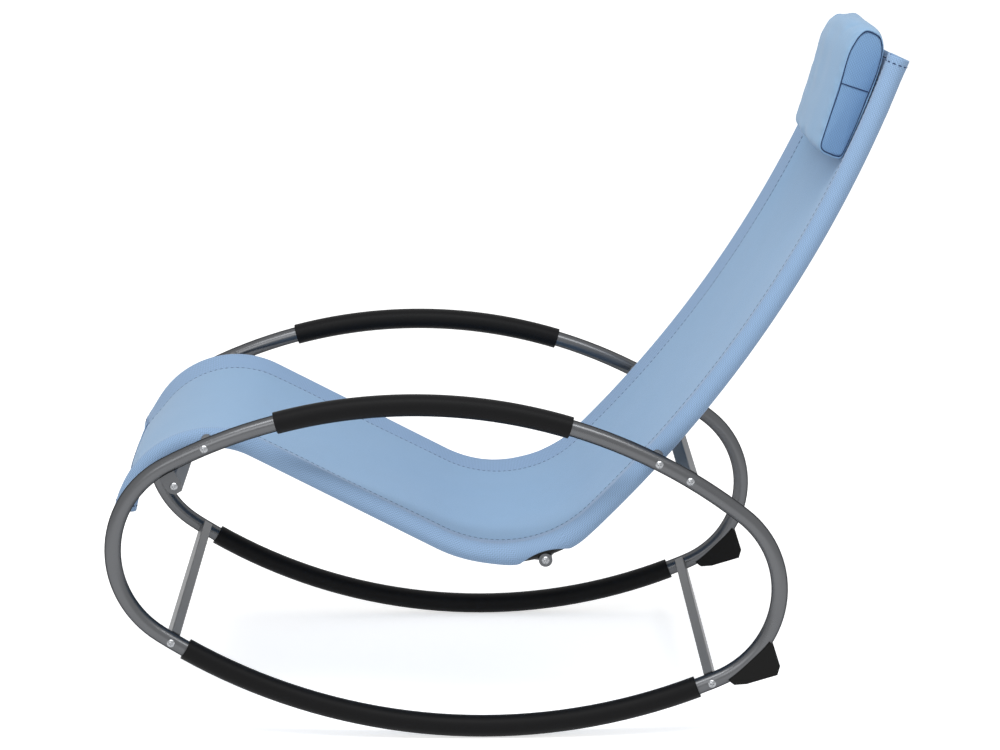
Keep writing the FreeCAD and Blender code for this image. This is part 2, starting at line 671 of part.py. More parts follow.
def crossbars():
    """Four crossbars, the threaded plates in their ends and their screws."""
    coped = "{hoop_spacing} - 2 * {bar_end_gap}"
    lug_face = HOOP_Y - v("lug_thickness") / 2
    low = v("front_bottom_angle")
    rear = v("rear_bottom_angle")
    top = v("rear_top_angle")
    placed = [
        ("crossbar_front_bottom", hoop.on_rocker(-low), -low, coped, True),
        ("crossbar_rear_bottom", hoop.on_rocker(rear), rear, coped, True),
        ("crossbar_rear_top", hoop.on_arm(top), -top, coped, True),
        ("crossbar_front_top", LUG_POINT, v("lug_angle") - 90, "{hoop_spacing} - {lug_thickness}", False),
    ]
    members = []
    for name, point, turn, length, cope in placed:
        crossbar(name, point, turn, length, cope)
        face = HOOP_Y - HOOP_R - v("plate_inset") if cope else lug_face - v("lug_plate_inset")
        for word, side in SIDES:
            members.append(nut_plate("%s_nut_%s" % (name, word), point, turn, side, face))
    node(group("crossbar_nuts", members), "crossbar_nuts")
    past = v("plate_depth") + v("screw_end")
    outside = HOOP_Y + HOOP_R + v("seat_gap")
    reach = 2 * HOOP_R + v("plate_inset") + past
    lateral_screws("crossbar_screws", [item[1] for item in placed[:3]], outside, reach)
    grip = v("lug_thickness") + v("lug_plate_inset") + past
    lateral_screws("lug_screws", [LUG_POINT], HOOP_Y + v("lug_thickness") / 2, grip)


def nut_plate(name, point, turn, side, face):
    """Threaded plate inside the end of a crossbar."""
    margin = 2 * (v("bar_wall") + v("box_gap"))
    wide, high, depth = v("bar_width") - margin, v("bar_height") - margin, v("plate_depth")
    plate = doc.addObject("Part::Box", name + "_plate")
    bind(plate, "Length", "{bar_width} - 2 * ({bar_wall} + {box_gap})")
    bind(plate, "Height", "{bar_height} - 2 * ({bar_wall} + {box_gap})")
    bind(plate, "Width", "{plate_depth}")
    plate.Placement.Base = FreeCAD.Vector(-wide / 2, -depth / 2, -high / 2)
    bore = doc.addObject("Part::Cylinder", name + "_bore")
    bind(bore, "Radius", THREAD)
    bind(bore, "Height", "3 * {plate_depth}")
    bore.Placement = FreeCAD.Placement(FreeCAD.Vector(0, -1.5 * depth, 0), along_y())
    item = cut(name, plate, [bore])
    y = side * (face - depth / 2)
    spin = FreeCAD.Rotation(LATERAL, -turn)
    item.Placement = FreeCAD.Placement(FreeCAD.Vector(v("contact_x") + point[0], y, point[1]), spin)
    bind(item, "Placement.Base.x", "{contact_x} + %.6f" % point[0])
    return item


LUG_POINT = polar(hoop.front, v("front_end_radius") - v("lug_drop"), v("lug_angle"))


def front_lug(name, side):
    """Rounded plate welded under the hoop for the front top crossbar."""
    y = side * HOOP_Y
    body = new_body(name + "_plate", LUG_POINT, "%d * {hoop_spacing} / 2" % side, v("lug_angle") - 90)
    half, reach = v("lug_radius"), v("lug_drop")
    extrude_outline(body, "web", [(-half, 0), (half, 0), (half, reach), (-half, reach)], "{lug_thickness}")
    sketch = sketch_on(body, "end_sketch", "XZ_Plane")
    add_circle(sketch, "{lug_radius}")
    pad = body.newObject("PartDesign::Pad", name + "_end")
    pad.Profile = sketch
    pad.Midplane = True
    bind(pad, "Length", "{lug_thickness}")
    add_side_holes(body, "hole", [((0.0, 0.0), HOLE)])
    tube = ring(name + "_tube", hoop.front, "{front_end_radius}", "{hoop_diameter} / 2 + {weld_gap}", y)
    keep_out = ring(name + "_outside", hoop.arm, "{arm_radius}", "{hoop_diameter} / 2 + {weld_gap}", y)
    return node(cut(name, body, [tube, keep_out]), name)


RAIL_TUBE = ("{rail_diameter} / 2", "{rail_diameter} / 2 - {rail_wall}")


def rail_arcs():
    """The four parts of the rail's centre line as path segments, without its end insets."""
    crest = (rail.crest, v("crest_radius"), "{crest_radius}")
    corner = (rail.corner, v("corner_radius"), "{corner_radius}")
    back = (rail.back, v("back_radius"), "{back_radius}")
    return crest, corner, back


def seat_rail(name, side):
    """Side rail from the foot end over the knee bend and down the seat to the joint."""
    crest, corner, _ = rail_arcs()
    inset = math.degrees(v("rail_end_inset") / v("crest_radius"))
    turn = v("foot_turn") - inset
    body = new_body(name, y_formula="%d * {rail_spacing} / 2" % side)
    segments = [
        ("arc", *crest, 90 - v("seat_angle"), 90 + turn),
        ("line", rail.seat_start, rail.seat_end),
        ("arc", *corner, -90 - v("seat_angle"), -90 + v("joint_angle")),
    ]
    add_pipe(body, "tube", segments, rail.on_crest(-turn), turn, RAIL_TUBE)
    add_rivet_hole(body, side, rail.seat_bolt)
    return node(body, name)


def back_rail(name, side):
    """Side rail from the joint up the back to the head end."""
    _, corner, back = rail_arcs()
    inset = math.degrees(v("rail_end_inset") / v("back_radius"))
    body = new_body(name, y_formula="%d * {rail_spacing} / 2" % side)
    start = v("joint_angle") + math.degrees(v("butt_gap") / v("corner_radius"))
    segments = [
        ("arc", *corner, -90 + start, -90 + v("back_start_angle")),
        ("arc", *back, -90 + v("back_start_angle"), -90 + HEAD_SLOPE - inset),
    ]
    add_pipe(body, "tube", segments, rail.on_corner(start), start, RAIL_TUBE)
    add_rivet_hole(body, side, rail.back_bolt)
    return node(body, name)


def add_rivet_hole(body, side, point):
    """Hole in the rail's outer wall for the threaded insert."""
    sketch = sketch_on(body, "insert_sketch", "XZ_Plane")
    add_circle(sketch, "{insert_diameter} / 2 + {insert_gap}", point)
    pocket = body.newObject("PartDesign::Pocket", body.Name + "_insert")
    pocket.Profile = sketch
    bind(pocket, "Length", "{rail_diameter}")
    pocket.Reversed = side < 0
    return pocket


def joint_tab(name, side, seat):
    """Plate welded under the end of a rail; the two plates of a joint lie face to face."""
    point = rail.on_corner(v("joint_angle"), TAB_DROP)
    width, root = v("tab_radius"), v("tab_gap") + v("tab_root")
    body = new_body(name + "_plate", point, turn=v("joint_angle"))
    shift = 0.5 if seat else -0.5
    bind(body, "Placement.Base.y", "%d * ({rail_spacing} / 2 + %.1f * {tab_thickness})" % (side, shift))
    way = -1 if seat else 1
    outline = [(-way * width, 0), (way * width, 0), (way * v("tab_flare"), root), (-way * width, root)]
    extrude_outline(body, "web", outline, "{tab_thickness}")
    sketch = sketch_on(body, "end_sketch", "XZ_Plane")
    add_circle(sketch, "{tab_radius}")
    pad = body.newObject("PartDesign::Pad", body.Name + "_end")
    pad.Profile = sketch
    pad.Midplane = True
    bind(pad, "Length", "{tab_thickness}")
    add_side_holes(body, "hole", [((0.0, 0.0), HOLE)])
    clear = "{rail_diameter} / 2 + {weld_gap}"
    tube = ring(name + "_tube", rail.corner, "{corner_radius}", clear, side * RAIL_Y)
    return cut(name, body, [tube])


def saddle_boss(name, point, side, way):
    """Round boss between a joint tab and the screw head or nut, hollowed to clear the rail's sleeve."""
    low = side * RAIL_Y + way * (v("tab_thickness") + v("seat_gap"))
    high = side * RAIL_Y + way * v("boss_reach")
    solid = lateral_cylinder(name + "_solid", "{boss_diameter} / 2", point, low, high)
    hole = lateral_cylinder(name + "_hole", HOLE, point, low - way, high + way)
    clear = "{rail_diameter} / 2 + {slip_gap} + {joint_sleeve_wall}"
    saddle = ring(name + "_saddle", rail.corner, "{corner_radius}", clear, side * RAIL_Y)
    return cut(name, solid, [hole, saddle])


def hex_nut(name, point, start, way):
    """Hexagon nut on a lateral screw, its seat at the start and its body running on the given way."""
    sizes = {"Height": "{nut_height}", "Circumradius": "{nut_width} / sqrt(3)"}
    prism = primitive("Part::Prism", name + "_prism", sizes, (point[0], start, point[1]), along_y(way))
    prism.Polygon = 6
    bore = lateral_cylinder(name + "_bore", THREAD, point, start - way, start + way * (v("nut_height") + 1))
    return cut(name, prism, [bore])


def joint_pieces():
    """Tabs, black sleeves, bosses, screws and nuts of the two rail joints."""
    for word, seat in (("seat_tabs", True), ("back_tabs", False)):
        members = [joint_tab("%s_%s" % (word, name), side, seat) for name, side in SIDES]
        node(group(word, members), word)
    point = rail.on_corner(v("joint_angle"), TAB_DROP)
    bosses, nuts = [], []
    for name, side in SIDES:
        joint_sleeve("joint_sleeve_" + name, side)
        for word, way in (("outer", side), ("inner", -side)):
            bosses.append(saddle_boss("boss_%s_%s" % (word, name), point, side, way))
        seat = side * (RAIL_Y - v("boss_reach") - v("seat_gap"))
        nuts.append(hex_nut("joint_nut_" + name, point, seat, -side))
    node(group("joint_bosses", bosses), "joint_bosses")
    node(group("joint_nuts", nuts), "joint_nuts")
    grip = 2 * v("boss_reach") + v("nut_height") + v("screw_end")
    lateral_screws("joint_screws", [point], RAIL_Y + v("boss_reach") + v("seat_gap"), grip)


def joint_sleeve(name, side):
    """Thin black sleeve over the butt joint, slit below for the tabs and the screw."""
    inner = "{rail_diameter} / 2 + {seat_gap}"
    outer = inner + " + {joint_sleeve_wall}"
    y_formula = "%d * {rail_spacing} / 2" % side
    middle, sweep = v("joint_angle"), 2 * v("joint_sleeve_half")
    bend = "-{corner_radius}"
    body = bent_sleeve(name + "_tube", rail.corner, bend, middle, sweep, outer, inner, y_formula)
    length = 2 * (v("tab_flare") + v("sleeve_slot_gap"))
    wide = 2 * (v("tab_thickness") + v("sleeve_slot_gap"))
    slot = doc.addObject("Part::Box", name + "_slot")
    bind(slot, "Length", "2 * ({tab_flare} + {sleeve_slot_gap})")
    bind(slot, "Width", "2 * ({tab_thickness} + {sleeve_slot_gap})")
    bind(slot, "Height", "{rail_diameter} + {joint_sleeve_wall}")
    spin = FreeCAD.Rotation(LATERAL, -v("joint_angle"))
    depth = v("rail_diameter") + v("joint_sleeve_wall")
    offset = spin.multVec(FreeCAD.Vector(-length / 2, -wide / 2, -depth))
    base = rail.on_corner(v("joint_angle"))
    spot = FreeCAD.Vector(v("contact_x") + base[0], side * RAIL_Y, base[1]).add(offset)
    slot.Placement = FreeCAD.Placement(spot, spin)
    return node(cut(name, body, [slot]), name)


def spreader_spots():
    """Where the two flat tubes sit: name, centre, slope of the sling there and the rail bend they meet."""
    head = HEAD_SLOPE - math.degrees(v("head_spreader_inset") / v("back_radius"))
    foot = v("foot_turn") - math.degrees(v("foot_spreader_inset") / v("crest_radius"))
    drop = v("spreader_offset")
    return [
        ("head_spreader", rail.on_back(head, drop), head, rail.back, "{back_radius}"),
        ("foot_spreader", rail.on_crest(-foot, -drop), foot, rail.crest, "{crest_radius}"),
    ]


def spreaders():
    """Flat tubes welded between the rails behind the two ends of the sling."""
    wide, high = v("spreader_width"), v("spreader_height")
    corner, wall = v("spreader_corner"), v("spreader_wall")
    for name, point, slope, centre, radius in spreader_spots():
        body = new_body(name + "_tube", point, turn=slope)
        sketch = sketch_on(body, "section", "XZ_Plane")
        add_rounded_box(
            sketch,
            (wide, "{spreader_width}"),
            (high, "{spreader_height}"),
            (corner, "{spreader_corner}"),
        )
        add_rounded_box(
            sketch,
            (wide - 2 * wall, "{spreader_width} - 2 * {spreader_wall}"),
            (high - 2 * wall, "{spreader_height} - 2 * {spreader_wall}"),
            (corner - wall, "{spreader_corner} - {spreader_wall}"),
        )
        pad = body.newObject("PartDesign::Pad", name + "_pad")
        pad.Profile = sketch
        pad.Midplane = True
        bind(pad, "Length", "{rail_spacing} - {rail_diameter} / 4")
        tube = "{rail_diameter} / 2 + {weld_gap}"
        rings = []
        for word, side in SIDES:
            rings.append(ring("%s_cope_%s" % (name, word), centre, radius, tube, side * RAIL_Y))
        node(cut(name, body, rings), name)


def rail_fixings():
    """Spacers, screws and threaded inserts where the side rails hang on the hoops."""
    spacers, inserts = [], []
    for number, point in enumerate((rail.seat_bolt, rail.back_bolt)):
        for word, side in SIDES:
            tag = "%s_%d" % (word, number)
            start = side * (RAIL_Y + RAIL_R + v("insert_flange"))
            inner, outer = start + side * 2 * v("seat_gap"), side * (HOOP_Y - v("spacer_end"))
            end = start - side * v("insert_length")
            solid = lateral_cylinder("spacer_solid_" + tag, "{spacer_diameter} / 2", point, inner, outer)
            hole = lateral_cylinder("spacer_hole_" + tag, HOLE, point, inner - side, outer + side)
            clear = "{hoop_diameter} / 2 + {seat_gap}"
            tube = ring("spacer_tube_" + tag, hoop.arm, "{arm_radius}", clear, side * HOOP_Y)
            spacers.append(cut("rail_spacer_" + tag, solid, [hole, tube]))
            rim = start - side * v("insert_flange")
            wide = "{insert_flange_diameter} / 2"
            flange = lateral_cylinder("insert_flange_" + tag, wide, point, start, rim)
            barrel = lateral_cylinder("insert_barrel_" + tag, "{insert_diameter} / 2", point, start, end)
            bore = lateral_cylinder("insert_bore_" + tag, THREAD, point, start + side, end - side)
            inserts.append(cut("rail_insert_" + tag, fuse("insert_solid_" + tag, [flange, barrel]), [bore]))
    node(group("rail_spacers", spacers), "rail_spacers")
    node(group("rail_inserts", inserts), "rail_inserts")
    seat = HOOP_Y + HOOP_R + v("seat_gap")
    grip = seat - RAIL_Y - RAIL_R - v("insert_flange") + v("insert_length")
    lateral_screws("rail_screws", [rail.seat_bolt, rail.back_bolt], seat, grip)


def end_plug(name, point, slope, y):
    """Plastic plug in a rail's open end; the slope points out of the tube."""
    out = FreeCAD.Vector(cosd(slope), 0, sind(slope))
    spin = FreeCAD.Rotation(FreeCAD.Vector(0, 0, 1), out)
    base = FreeCAD.Vector(v("contact_x") + point[0], y, point[1])
    cap = doc.addObject("Part::Cylinder", name + "_cap")
    bind(cap, "Radius", "{rail_diameter} / 2")
    bind(cap, "Height", "{plug_cap}")
    cap.Placement = FreeCAD.Placement(base.add(out * v("seat_gap")), spin)
    core = doc.addObject("Part::Cylinder", name + "_core")
    bind(core, "Radius", "{rail_diameter} / 2 - {rail_wall} - {box_gap}")
    bind(core, "Height", "{plug_core} + {seat_gap}")
    core.Placement = FreeCAD.Placement(base.sub(out * v("plug_core")), spin)
    return fuse(name, [cap, core])


def end_plugs():
    """Four plugs, two at the foot end and two at the head end."""
    foot_turn = v("foot_turn") - math.degrees(v("rail_end_inset") / v("crest_radius"))
    head_slope = HEAD_SLOPE - math.degrees(v("rail_end_inset") / v("back_radius"))
    foot, head = rail.on_crest(-foot_turn), rail.on_back(head_slope)
    members = []
    for word, side in SIDES:
        members.append(end_plug("foot_plug_" + word, foot, foot_turn + 180, side * RAIL_Y))
        members.append(end_plug("head_plug_" + word, head, head_slope, side * RAIL_Y))
    node(group("rail_end_plugs", members), "rail_end_plugs")


def add_strip(sketch, half, sag, thickness):
    """Thin cross-section of the sling's sheet: two long arcs closed by two short lines."""
    def through(offset):
        left = FreeCAD.Vector(-half, offset, 0)
        right = FreeCAD.Vector(half, offset, 0)
        return Part.Arc(left, FreeCAD.Vector(0, offset - sag, 0), right)
    low, high = -thickness / 2, thickness / 2
    sketch.addGeometry(through(high), False)
    sketch.addGeometry(through(low), False)
    for x in (-half, half):
        sketch.addGeometry(Part.LineSegment(FreeCAD.Vector(x, low, 0), FreeCAD.Vector(x, high, 0)), False)


def sling():
    """One fabric panel with a hem sewn round each side rail, dipping between the rails."""
    crest, corner, back = rail_arcs()
    body = new_body("sling_panel")
    segments = [
        ("arc", *crest, 90 - v("seat_angle"), 90 + v("foot_turn")),
        ("line", rail.seat_start, rail.seat_end),
        ("arc", *corner, -90 - v("seat_angle"), -90 + v("back_start_angle")),
        ("arc", *back, -90 + v("back_start_angle"), -90 + HEAD_SLOPE),
    ]
    path = sketch_on(body, "path", "XZ_Plane")
    add_path(path, segments)
    start, turn = rail.on_crest(-v("foot_turn")), v("foot_turn")
    axis = FreeCAD.Vector(1, 0, 0)
    half = RAIL_Y - HEM_R - v("fabric_thickness") / 2
    profile = sketch_on(body, "sheet_profile", "YZ_Plane", (0, start[1], start[0]), axis, -turn)
    add_strip(profile, half, v("sling_sag"), v("fabric_thickness"))
    sheet_pipe = body.newObject("PartDesign::AdditivePipe", "sling_sheet")
    sheet_pipe.Profile = profile
    sheet_pipe.Spine = (path, [])
    for word, side in SIDES:
        spot = (side * RAIL_Y, start[1], start[0])
        hem = sketch_on(body, "hem_profile_" + word, "YZ_Plane", spot, axis, -turn)
        bind(hem, "AttachmentOffset.Base.x", "%d * {rail_spacing} / 2" % side)
        add_circle(hem, "{rail_diameter} / 2 + {hem_gap} + {fabric_thickness}")
        add_circle(hem, "{rail_diameter} / 2 + {hem_gap}")
        pipe = body.newObject("PartDesign::AdditivePipe", "sling_hem_" + word)
        pipe.Profile = hem
        pipe.Spine = (path, [])
    return node(cut("sling", body, sling_openings()), "sling")


def sling_openings():
    """Everything cut from the sling: joint cut-outs, screw holes, bar notches and the drawn-in ends."""
    tools = []
    joint = rail.on_corner(v("joint_angle"), v("cutout_radius") + v("cutout_cover"))
    inside = RAIL_Y - HEM_R - v("fabric_thickness") - v("notch_gap")
    outside = RAIL_Y + 2 * HEM_R
    for word, side in SIDES:
        low, high = side * inside, side * outside
        tools.append(lateral_cylinder("cutout_" + word, "{cutout_radius}", joint, low, high))
        for number, point in enumerate((rail.seat_bolt, rail.back_bolt)):
            tag = "eyelet_%s_%d" % (word, number)
            hole = "{spacer_diameter} / 2 + {eyelet_gap}"
            tools.append(lateral_cylinder(tag, hole, point, side * (RAIL_Y + RAIL_R / 2), side * outside))
        for name, notch, slope, _, _ in spreader_spots():
            tools.append(hem_notch("%s_notch_%s" % (name, word), notch, slope, side))
    tools.append(end_cutter("foot_draw", rail.on_crest(-v("foot_turn")), v("foot_turn") + 180))
    tools.append(end_cutter("head_draw", rail.on_back(HEAD_SLOPE), HEAD_SLOPE))
    return tools


def hem_notch(name, point, slope, side):
    """Box that clears a flat tube where it passes through the hem to the rail."""
    deep = HEM_R + v("fabric_thickness") / 2
    long_half = v("spreader_width") / 2 + v("notch_gap")
    high_half = v("spreader_height") / 2 + v("notch_gap")
    box = doc.addObject("Part::Box", name)
    bind(box, "Length", "{spreader_width} + 2 * {notch_gap}")
    bind(box, "Width", "{rail_diameter} / 2 + {hem_gap} + {fabric_thickness} / 2")
    bind(box, "Height", "{spreader_height} + 2 * {notch_gap}")
    spin = FreeCAD.Rotation(LATERAL, -slope)
    low = side * RAIL_Y - (deep if side > 0 else 0.0)
    offset = spin.multVec(FreeCAD.Vector(-long_half, 0, -high_half))
    spot = FreeCAD.Vector(v("contact_x") + point[0], low, point[1]).add(offset)
    box.Placement = FreeCAD.Placement(spot, spin)
    return box


END_CUT_HALF = 40.0


def end_cutter(name, point, slope):
    """Large cylinder that hollows a free end of the sling between its hems."""
    chord, depth = v("rail_spacing") - 2.4 * HEM_R, v("end_draw")
    radius = (chord * chord / 4 + depth * depth) / (2 * depth)
    out = FreeCAD.Vector(cosd(slope), 0, sind(slope))
    across = FreeCAD.Vector(-sind(slope), 0, cosd(slope))
    item = doc.addObject("Part::Cylinder", name)
    item.Radius = radius
    item.Height = 2 * END_CUT_HALF
    base = FreeCAD.Vector(v("contact_x") + point[0], 0, point[1])
    centre = base.add(out * (radius - depth)).sub(across * END_CUT_HALF)
    item.Placement = FreeCAD.Placement(centre, FreeCAD.Rotation(FreeCAD.Vector(0, 0, 1), across))
    return item


PILLOW_SECTIONS = [
    (0.0, 1.0, 0.0),
    (0.45, 0.82, 0.1),
    (0.78, 0.42, 0.4),
    (0.94, 0.14, 0.8),
    (1.0, 0.0, 1.0),
]
PILLOW_LOW = HEAD_ANGLE - math.degrees(v("pillow_low") / v("back_radius"))
PILLOW_TOP = HEAD_ANGLE + math.degrees(v("pillow_rise") / v("back_radius"))


def pillow_outline(swell, droop, inset):
    """Side outline of one slice of the pillow, drawn in all round by the inset.

    The outline is the bottom, the swollen front, the rounded top and the nearly straight rear.
    """
    radius = v("back_radius")
    margin = math.degrees(inset / radius)
    low = PILLOW_LOW + margin - 0.12 * swell
    reach = PILLOW_TOP - 0.08 * droop - margin - low
    front = v("pillow_crown") * swell - inset
    rear = inset - v("pillow_rear_swell") * swell

    def spot(depth, share):
        return FreeCAD.Vector(*polar(rail.back, v("pillow_back_radius") - depth, low + share * reach), 0)
    bottom_rear, bottom_front = spot(rear - 0.6, 0.01), spot(36.0 + 0.7 * front, 0.0)
    front_middle, front_top = spot(50.0 + front, 0.58), spot(52.0 + 0.85 * front, 0.88)
    top_middle, rear_top = spot(30.0 + 0.2 * front, 1.0), spot(rear + 6.0, 0.91)
    rear_middle = spot(rear + 1.0, 0.5)
    return [
        Part.LineSegment(bottom_rear, bottom_front),
        Part.Arc(bottom_front, front_middle, front_top),
        Part.Arc(front_top, top_middle, rear_top),
        Part.Arc(rear_top, rear_middle, bottom_rear),
    ]


def pillow_form(name, inset):
    """Closed pillow form, lofted through slices across its width."""
    body = new_body(name)
    slices = [(-share, *rest) for share, *rest in reversed(PILLOW_SECTIONS[1:])] + PILLOW_SECTIONS
    sketches = []
    for number, (share, swell, droop) in enumerate(slices):
        sketch = sketch_on(body, "slice_%d" % number, "XZ_Plane")
        bind(sketch, "AttachmentOffset.Base.z", "%.3f * ({pillow_width} / 2 - %.3f)" % (-share, inset))
        for item in pillow_outline(swell, droop, inset):
            sketch.addGeometry(item, False)
        sketches.append(sketch)
    loft = body.newObject("PartDesign::AdditiveLoft", name + "_loft")
    loft.Profile = sketches[0]
    loft.Sections = sketches[1:]
    return body


def pillow():
    """Boxed pillow with a swollen front: a quilted cover round its light filling."""
    outside = pillow_form("pillow_outside", 0.0)
    inside = pillow_form("pillow_inside", v("pillow_cover"))
    return node(cut("pillow", outside, [inside]), "pillow")


def curved_plate(name, low, top, radius, thickness, y):
    """Thin plate that follows the back's bend: a small rectangle turned about the bend's centre."""
    body = new_body(name, rail.back, turn=(low + top) / 2)
    body.Placement.Base.y = y
    sketch = sketch_on(body, "section", "XY_Plane", (radius + thickness / 2, 0, 0))
    add_rounded_box(sketch, (thickness, str(thickness)), (v("pad_width"), "{pad_width}"), (0.3, "0.3"))
    turn = body.newObject("PartDesign::Revolution", name + "_turn")
    turn.Profile = sketch
    axis = [item for item in body.Origin.OriginFeatures if item.Role == "Y_Axis"][0]
    turn.ReferenceAxis = (axis, [""])
    turn.Midplane = True
    turn.Angle = abs(low - top)
    return body


def pillow_fixings():
    """Hook pads on the pillow's rear and longer loop strips on the sling."""
    surface = v("back_radius") + v("sling_sag") * 0.93 - v("fabric_thickness") / 2
    strip = surface - v("strip_thickness") - v("strip_gap")
    pad = strip - v("pad_thickness") - v("pad_gap")
    for name, radius, thickness, share in (
        ("loop_strips", strip, v("strip_thickness"), (0.12, 0.84)),
        ("hook_pads", pad, v("pad_thickness"), (0.5, 0.82)),
    ):
        first, last = (PILLOW_LOW + (PILLOW_TOP - PILLOW_LOW) * part for part in share)
        members = []
        for word, side in SIDES:
            y = side * v("pad_spread")
            members.append(curved_plate("%s_%s" % (name, word), first, last, radius, thickness, y))
        node(group(name, members), name)


def stopper_screws():
    """One sunk screw from below through each rubber stopper into the hoop."""
    members = []
    angle = v("stopper_screw_angle")
    point = polar(hoop.rear, v("rear_end_radius") + HOOP_R + v("stopper_floor"), angle)
    inward = (-cosd(angle), 0, -sind(angle))
    for word, side in SIDES:
        length = v("stopper_floor") - v("screw_hole_gap")
        members.append(pan_screw("stopper_screw_" + word, point, side * HOOP_Y, inward, length))
    node(group("stopper_screws", members), "stopper_screws")


def build():
    """Make every sub-part, check it and write it out."""
    for word, side in SIDES:
        hoop_half("hoop_front_" + word, side, True)
        hoop_half("hoop_rear_" + word, side, False)
        hoop_sleeves(word, side)
        stopper("stopper_" + word, side)
        front_lug("front_lug_" + word, side)
        seat_rail("seat_rail_" + word, side)
        back_rail("back_rail_" + word, side)
    crossbars()
    joint_pieces()
    spreaders()
    rail_fixings()
    end_plugs()
    stopper_screws()
    sling()
    pillow()
    pillow_fixings()
    doc.recompute()
    os.makedirs("parts", exist_ok=True)
    for item in doc.Objects:
        if "Invalid" in item.State or "Error" in item.State:
            raise RuntimeError("%s did not compute: %s" % (item.Name, item.State))
    for name, item in NODES:
        if item.Shape.isNull() or not item.Shape.isValid() or not item.Shape.Solids:
            raise RuntimeError("%s has no valid solid" % name)
        item.Shape.exportStep("parts/%s.step" % name)
        print(name, len(item.Shape.Solids), round(item.Shape.Volume / 1000, 2))


build()
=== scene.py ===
"""Rocking chaise lounge: sling, headrest pillow, sewing, finishes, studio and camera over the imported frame."""

from __future__ import annotations

import json
import logging
import math
from collections.abc import Iterator
from contextlib import contextmanager
from dataclasses import dataclass, field
from enum import Enum

import bmesh
import bpy
import numpy as np
from mathutils import Euler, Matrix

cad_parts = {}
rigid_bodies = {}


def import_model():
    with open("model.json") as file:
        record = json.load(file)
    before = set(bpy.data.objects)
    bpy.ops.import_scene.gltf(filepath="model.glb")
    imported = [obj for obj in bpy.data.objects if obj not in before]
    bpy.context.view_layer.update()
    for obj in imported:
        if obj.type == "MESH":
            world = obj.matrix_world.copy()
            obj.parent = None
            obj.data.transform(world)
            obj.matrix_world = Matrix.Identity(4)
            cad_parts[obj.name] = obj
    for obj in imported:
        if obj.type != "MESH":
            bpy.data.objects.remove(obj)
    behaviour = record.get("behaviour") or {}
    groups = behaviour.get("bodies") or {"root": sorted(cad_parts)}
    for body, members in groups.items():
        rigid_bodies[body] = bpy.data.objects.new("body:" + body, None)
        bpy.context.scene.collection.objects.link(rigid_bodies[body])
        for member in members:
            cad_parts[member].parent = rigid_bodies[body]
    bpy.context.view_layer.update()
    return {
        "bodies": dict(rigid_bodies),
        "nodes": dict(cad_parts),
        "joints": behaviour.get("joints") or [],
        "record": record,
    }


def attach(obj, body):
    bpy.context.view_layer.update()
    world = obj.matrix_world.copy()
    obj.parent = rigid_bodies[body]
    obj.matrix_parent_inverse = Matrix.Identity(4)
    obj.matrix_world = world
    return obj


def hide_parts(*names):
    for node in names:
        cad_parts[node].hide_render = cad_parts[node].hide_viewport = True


LOG = logging.getLogger("chaise")
CHAIR = "chair"
HEADREST = "headrest"
WELD = 1e-6
CLOTH_WELD = 2e-5
SHORTEST_EDGE = 1e-7
MIX_FACTOR, MIX_A, MIX_B, MIX_COLOR = 0, 6, 7, 2


class Side(Enum):
    """The two sides of the chair, by the sign of Y."""

    LEFT = -1
    RIGHT = 1


class Socket(Enum):
    """Kinds of socket that a shader node group has."""

    VALUE = "NodeSocketFloat"
    VECTOR = "NodeSocketVector"
    COLOR = "NodeSocketColor"


# ---- surfaces


def smooth_ripple(a: np.ndarray, b: np.ndarray, seed: int, waves: int = 7) -> np.ndarray:
    """Gentle uneven ripple: a sum of sine waves with fixed random directions and phases.

    Args:
        a: First coordinate, in wavelengths.
        b: Second coordinate, in wavelengths.
        seed: Picks one fixed pattern.
        waves: Number of sine waves added up.

    Returns:
        Values of about -1 to 1 in the shape of the inputs.
    """
    rng = np.random.default_rng(seed)
    total = np.zeros(np.broadcast(a, b).shape)
    for _ in range(waves):
        turn, phase, pitch = rng.uniform(0, math.tau), rng.uniform(0, math.tau), rng.uniform(0.6, 1.9)
        total = total + np.sin(math.tau * pitch * (a * math.cos(turn) + b * math.sin(turn)) + phase)
    return total / math.sqrt(waves * 2.0)


def smoothstep(low: float, high: float, x: np.ndarray) -> np.ndarray:
    """Cubic step from 0 at low to 1 at high."""
    t = np.clip((x - low) / (high - low), 0.0, 1.0)
    return t * t * (3.0 - 2.0 * t)


def smooth_table(x: np.ndarray, table: tuple[tuple[float, float], ...]) -> np.ndarray:
    """Values between the rows of a table, by cubics whose slopes follow the neighbouring rows.

    Args:
        x: Where the values are wanted.
        table: Pairs of place and value, in rising order of place.

    Returns:
        Values in the shape of x.
    """
    place, value = np.array(table).T
    slope = np.gradient(value, place)
    index = np.clip(np.searchsorted(place, x, side="right") - 1, 0, len(place) - 2)
    width = place[index + 1] - place[index]
    t = np.clip((x - place[index]) / width, 0.0, 1.0)
    start = (1 + 2 * t) * (1 - t) ** 2 * value[index] + t * (1 - t) ** 2 * width * slope[index]
    return start + t**2 * (3 - 2 * t) * value[index + 1] - t**2 * (1 - t) * width * slope[index + 1]


@dataclass
class Patch:
    """A grid of points with its texture coordinates in metres.

    Args:
        points: Positions, rows by columns by 3.
        uv: Texture coordinates, rows by columns by 2.
        slot: Index of the material on the object.
        flip: Turns the faces over.
    """

    points: np.ndarray
    uv: np.ndarray
    slot: int = 0
    flip: bool = False

    def faces(self, start: int) -> np.ndarray:
        """Quads between neighbouring rows and columns, counted from a first vertex."""
        rows, columns = self.points.shape[:2]
        index = np.arange(rows * columns).reshape(rows, columns) + start
        quads = np.stack([index[:-1, :-1], index[:-1, 1:], index[1:, 1:], index[1:, :-1]], axis=-1).reshape(-1, 4)
        return quads[:, ::-1] if self.flip else quads


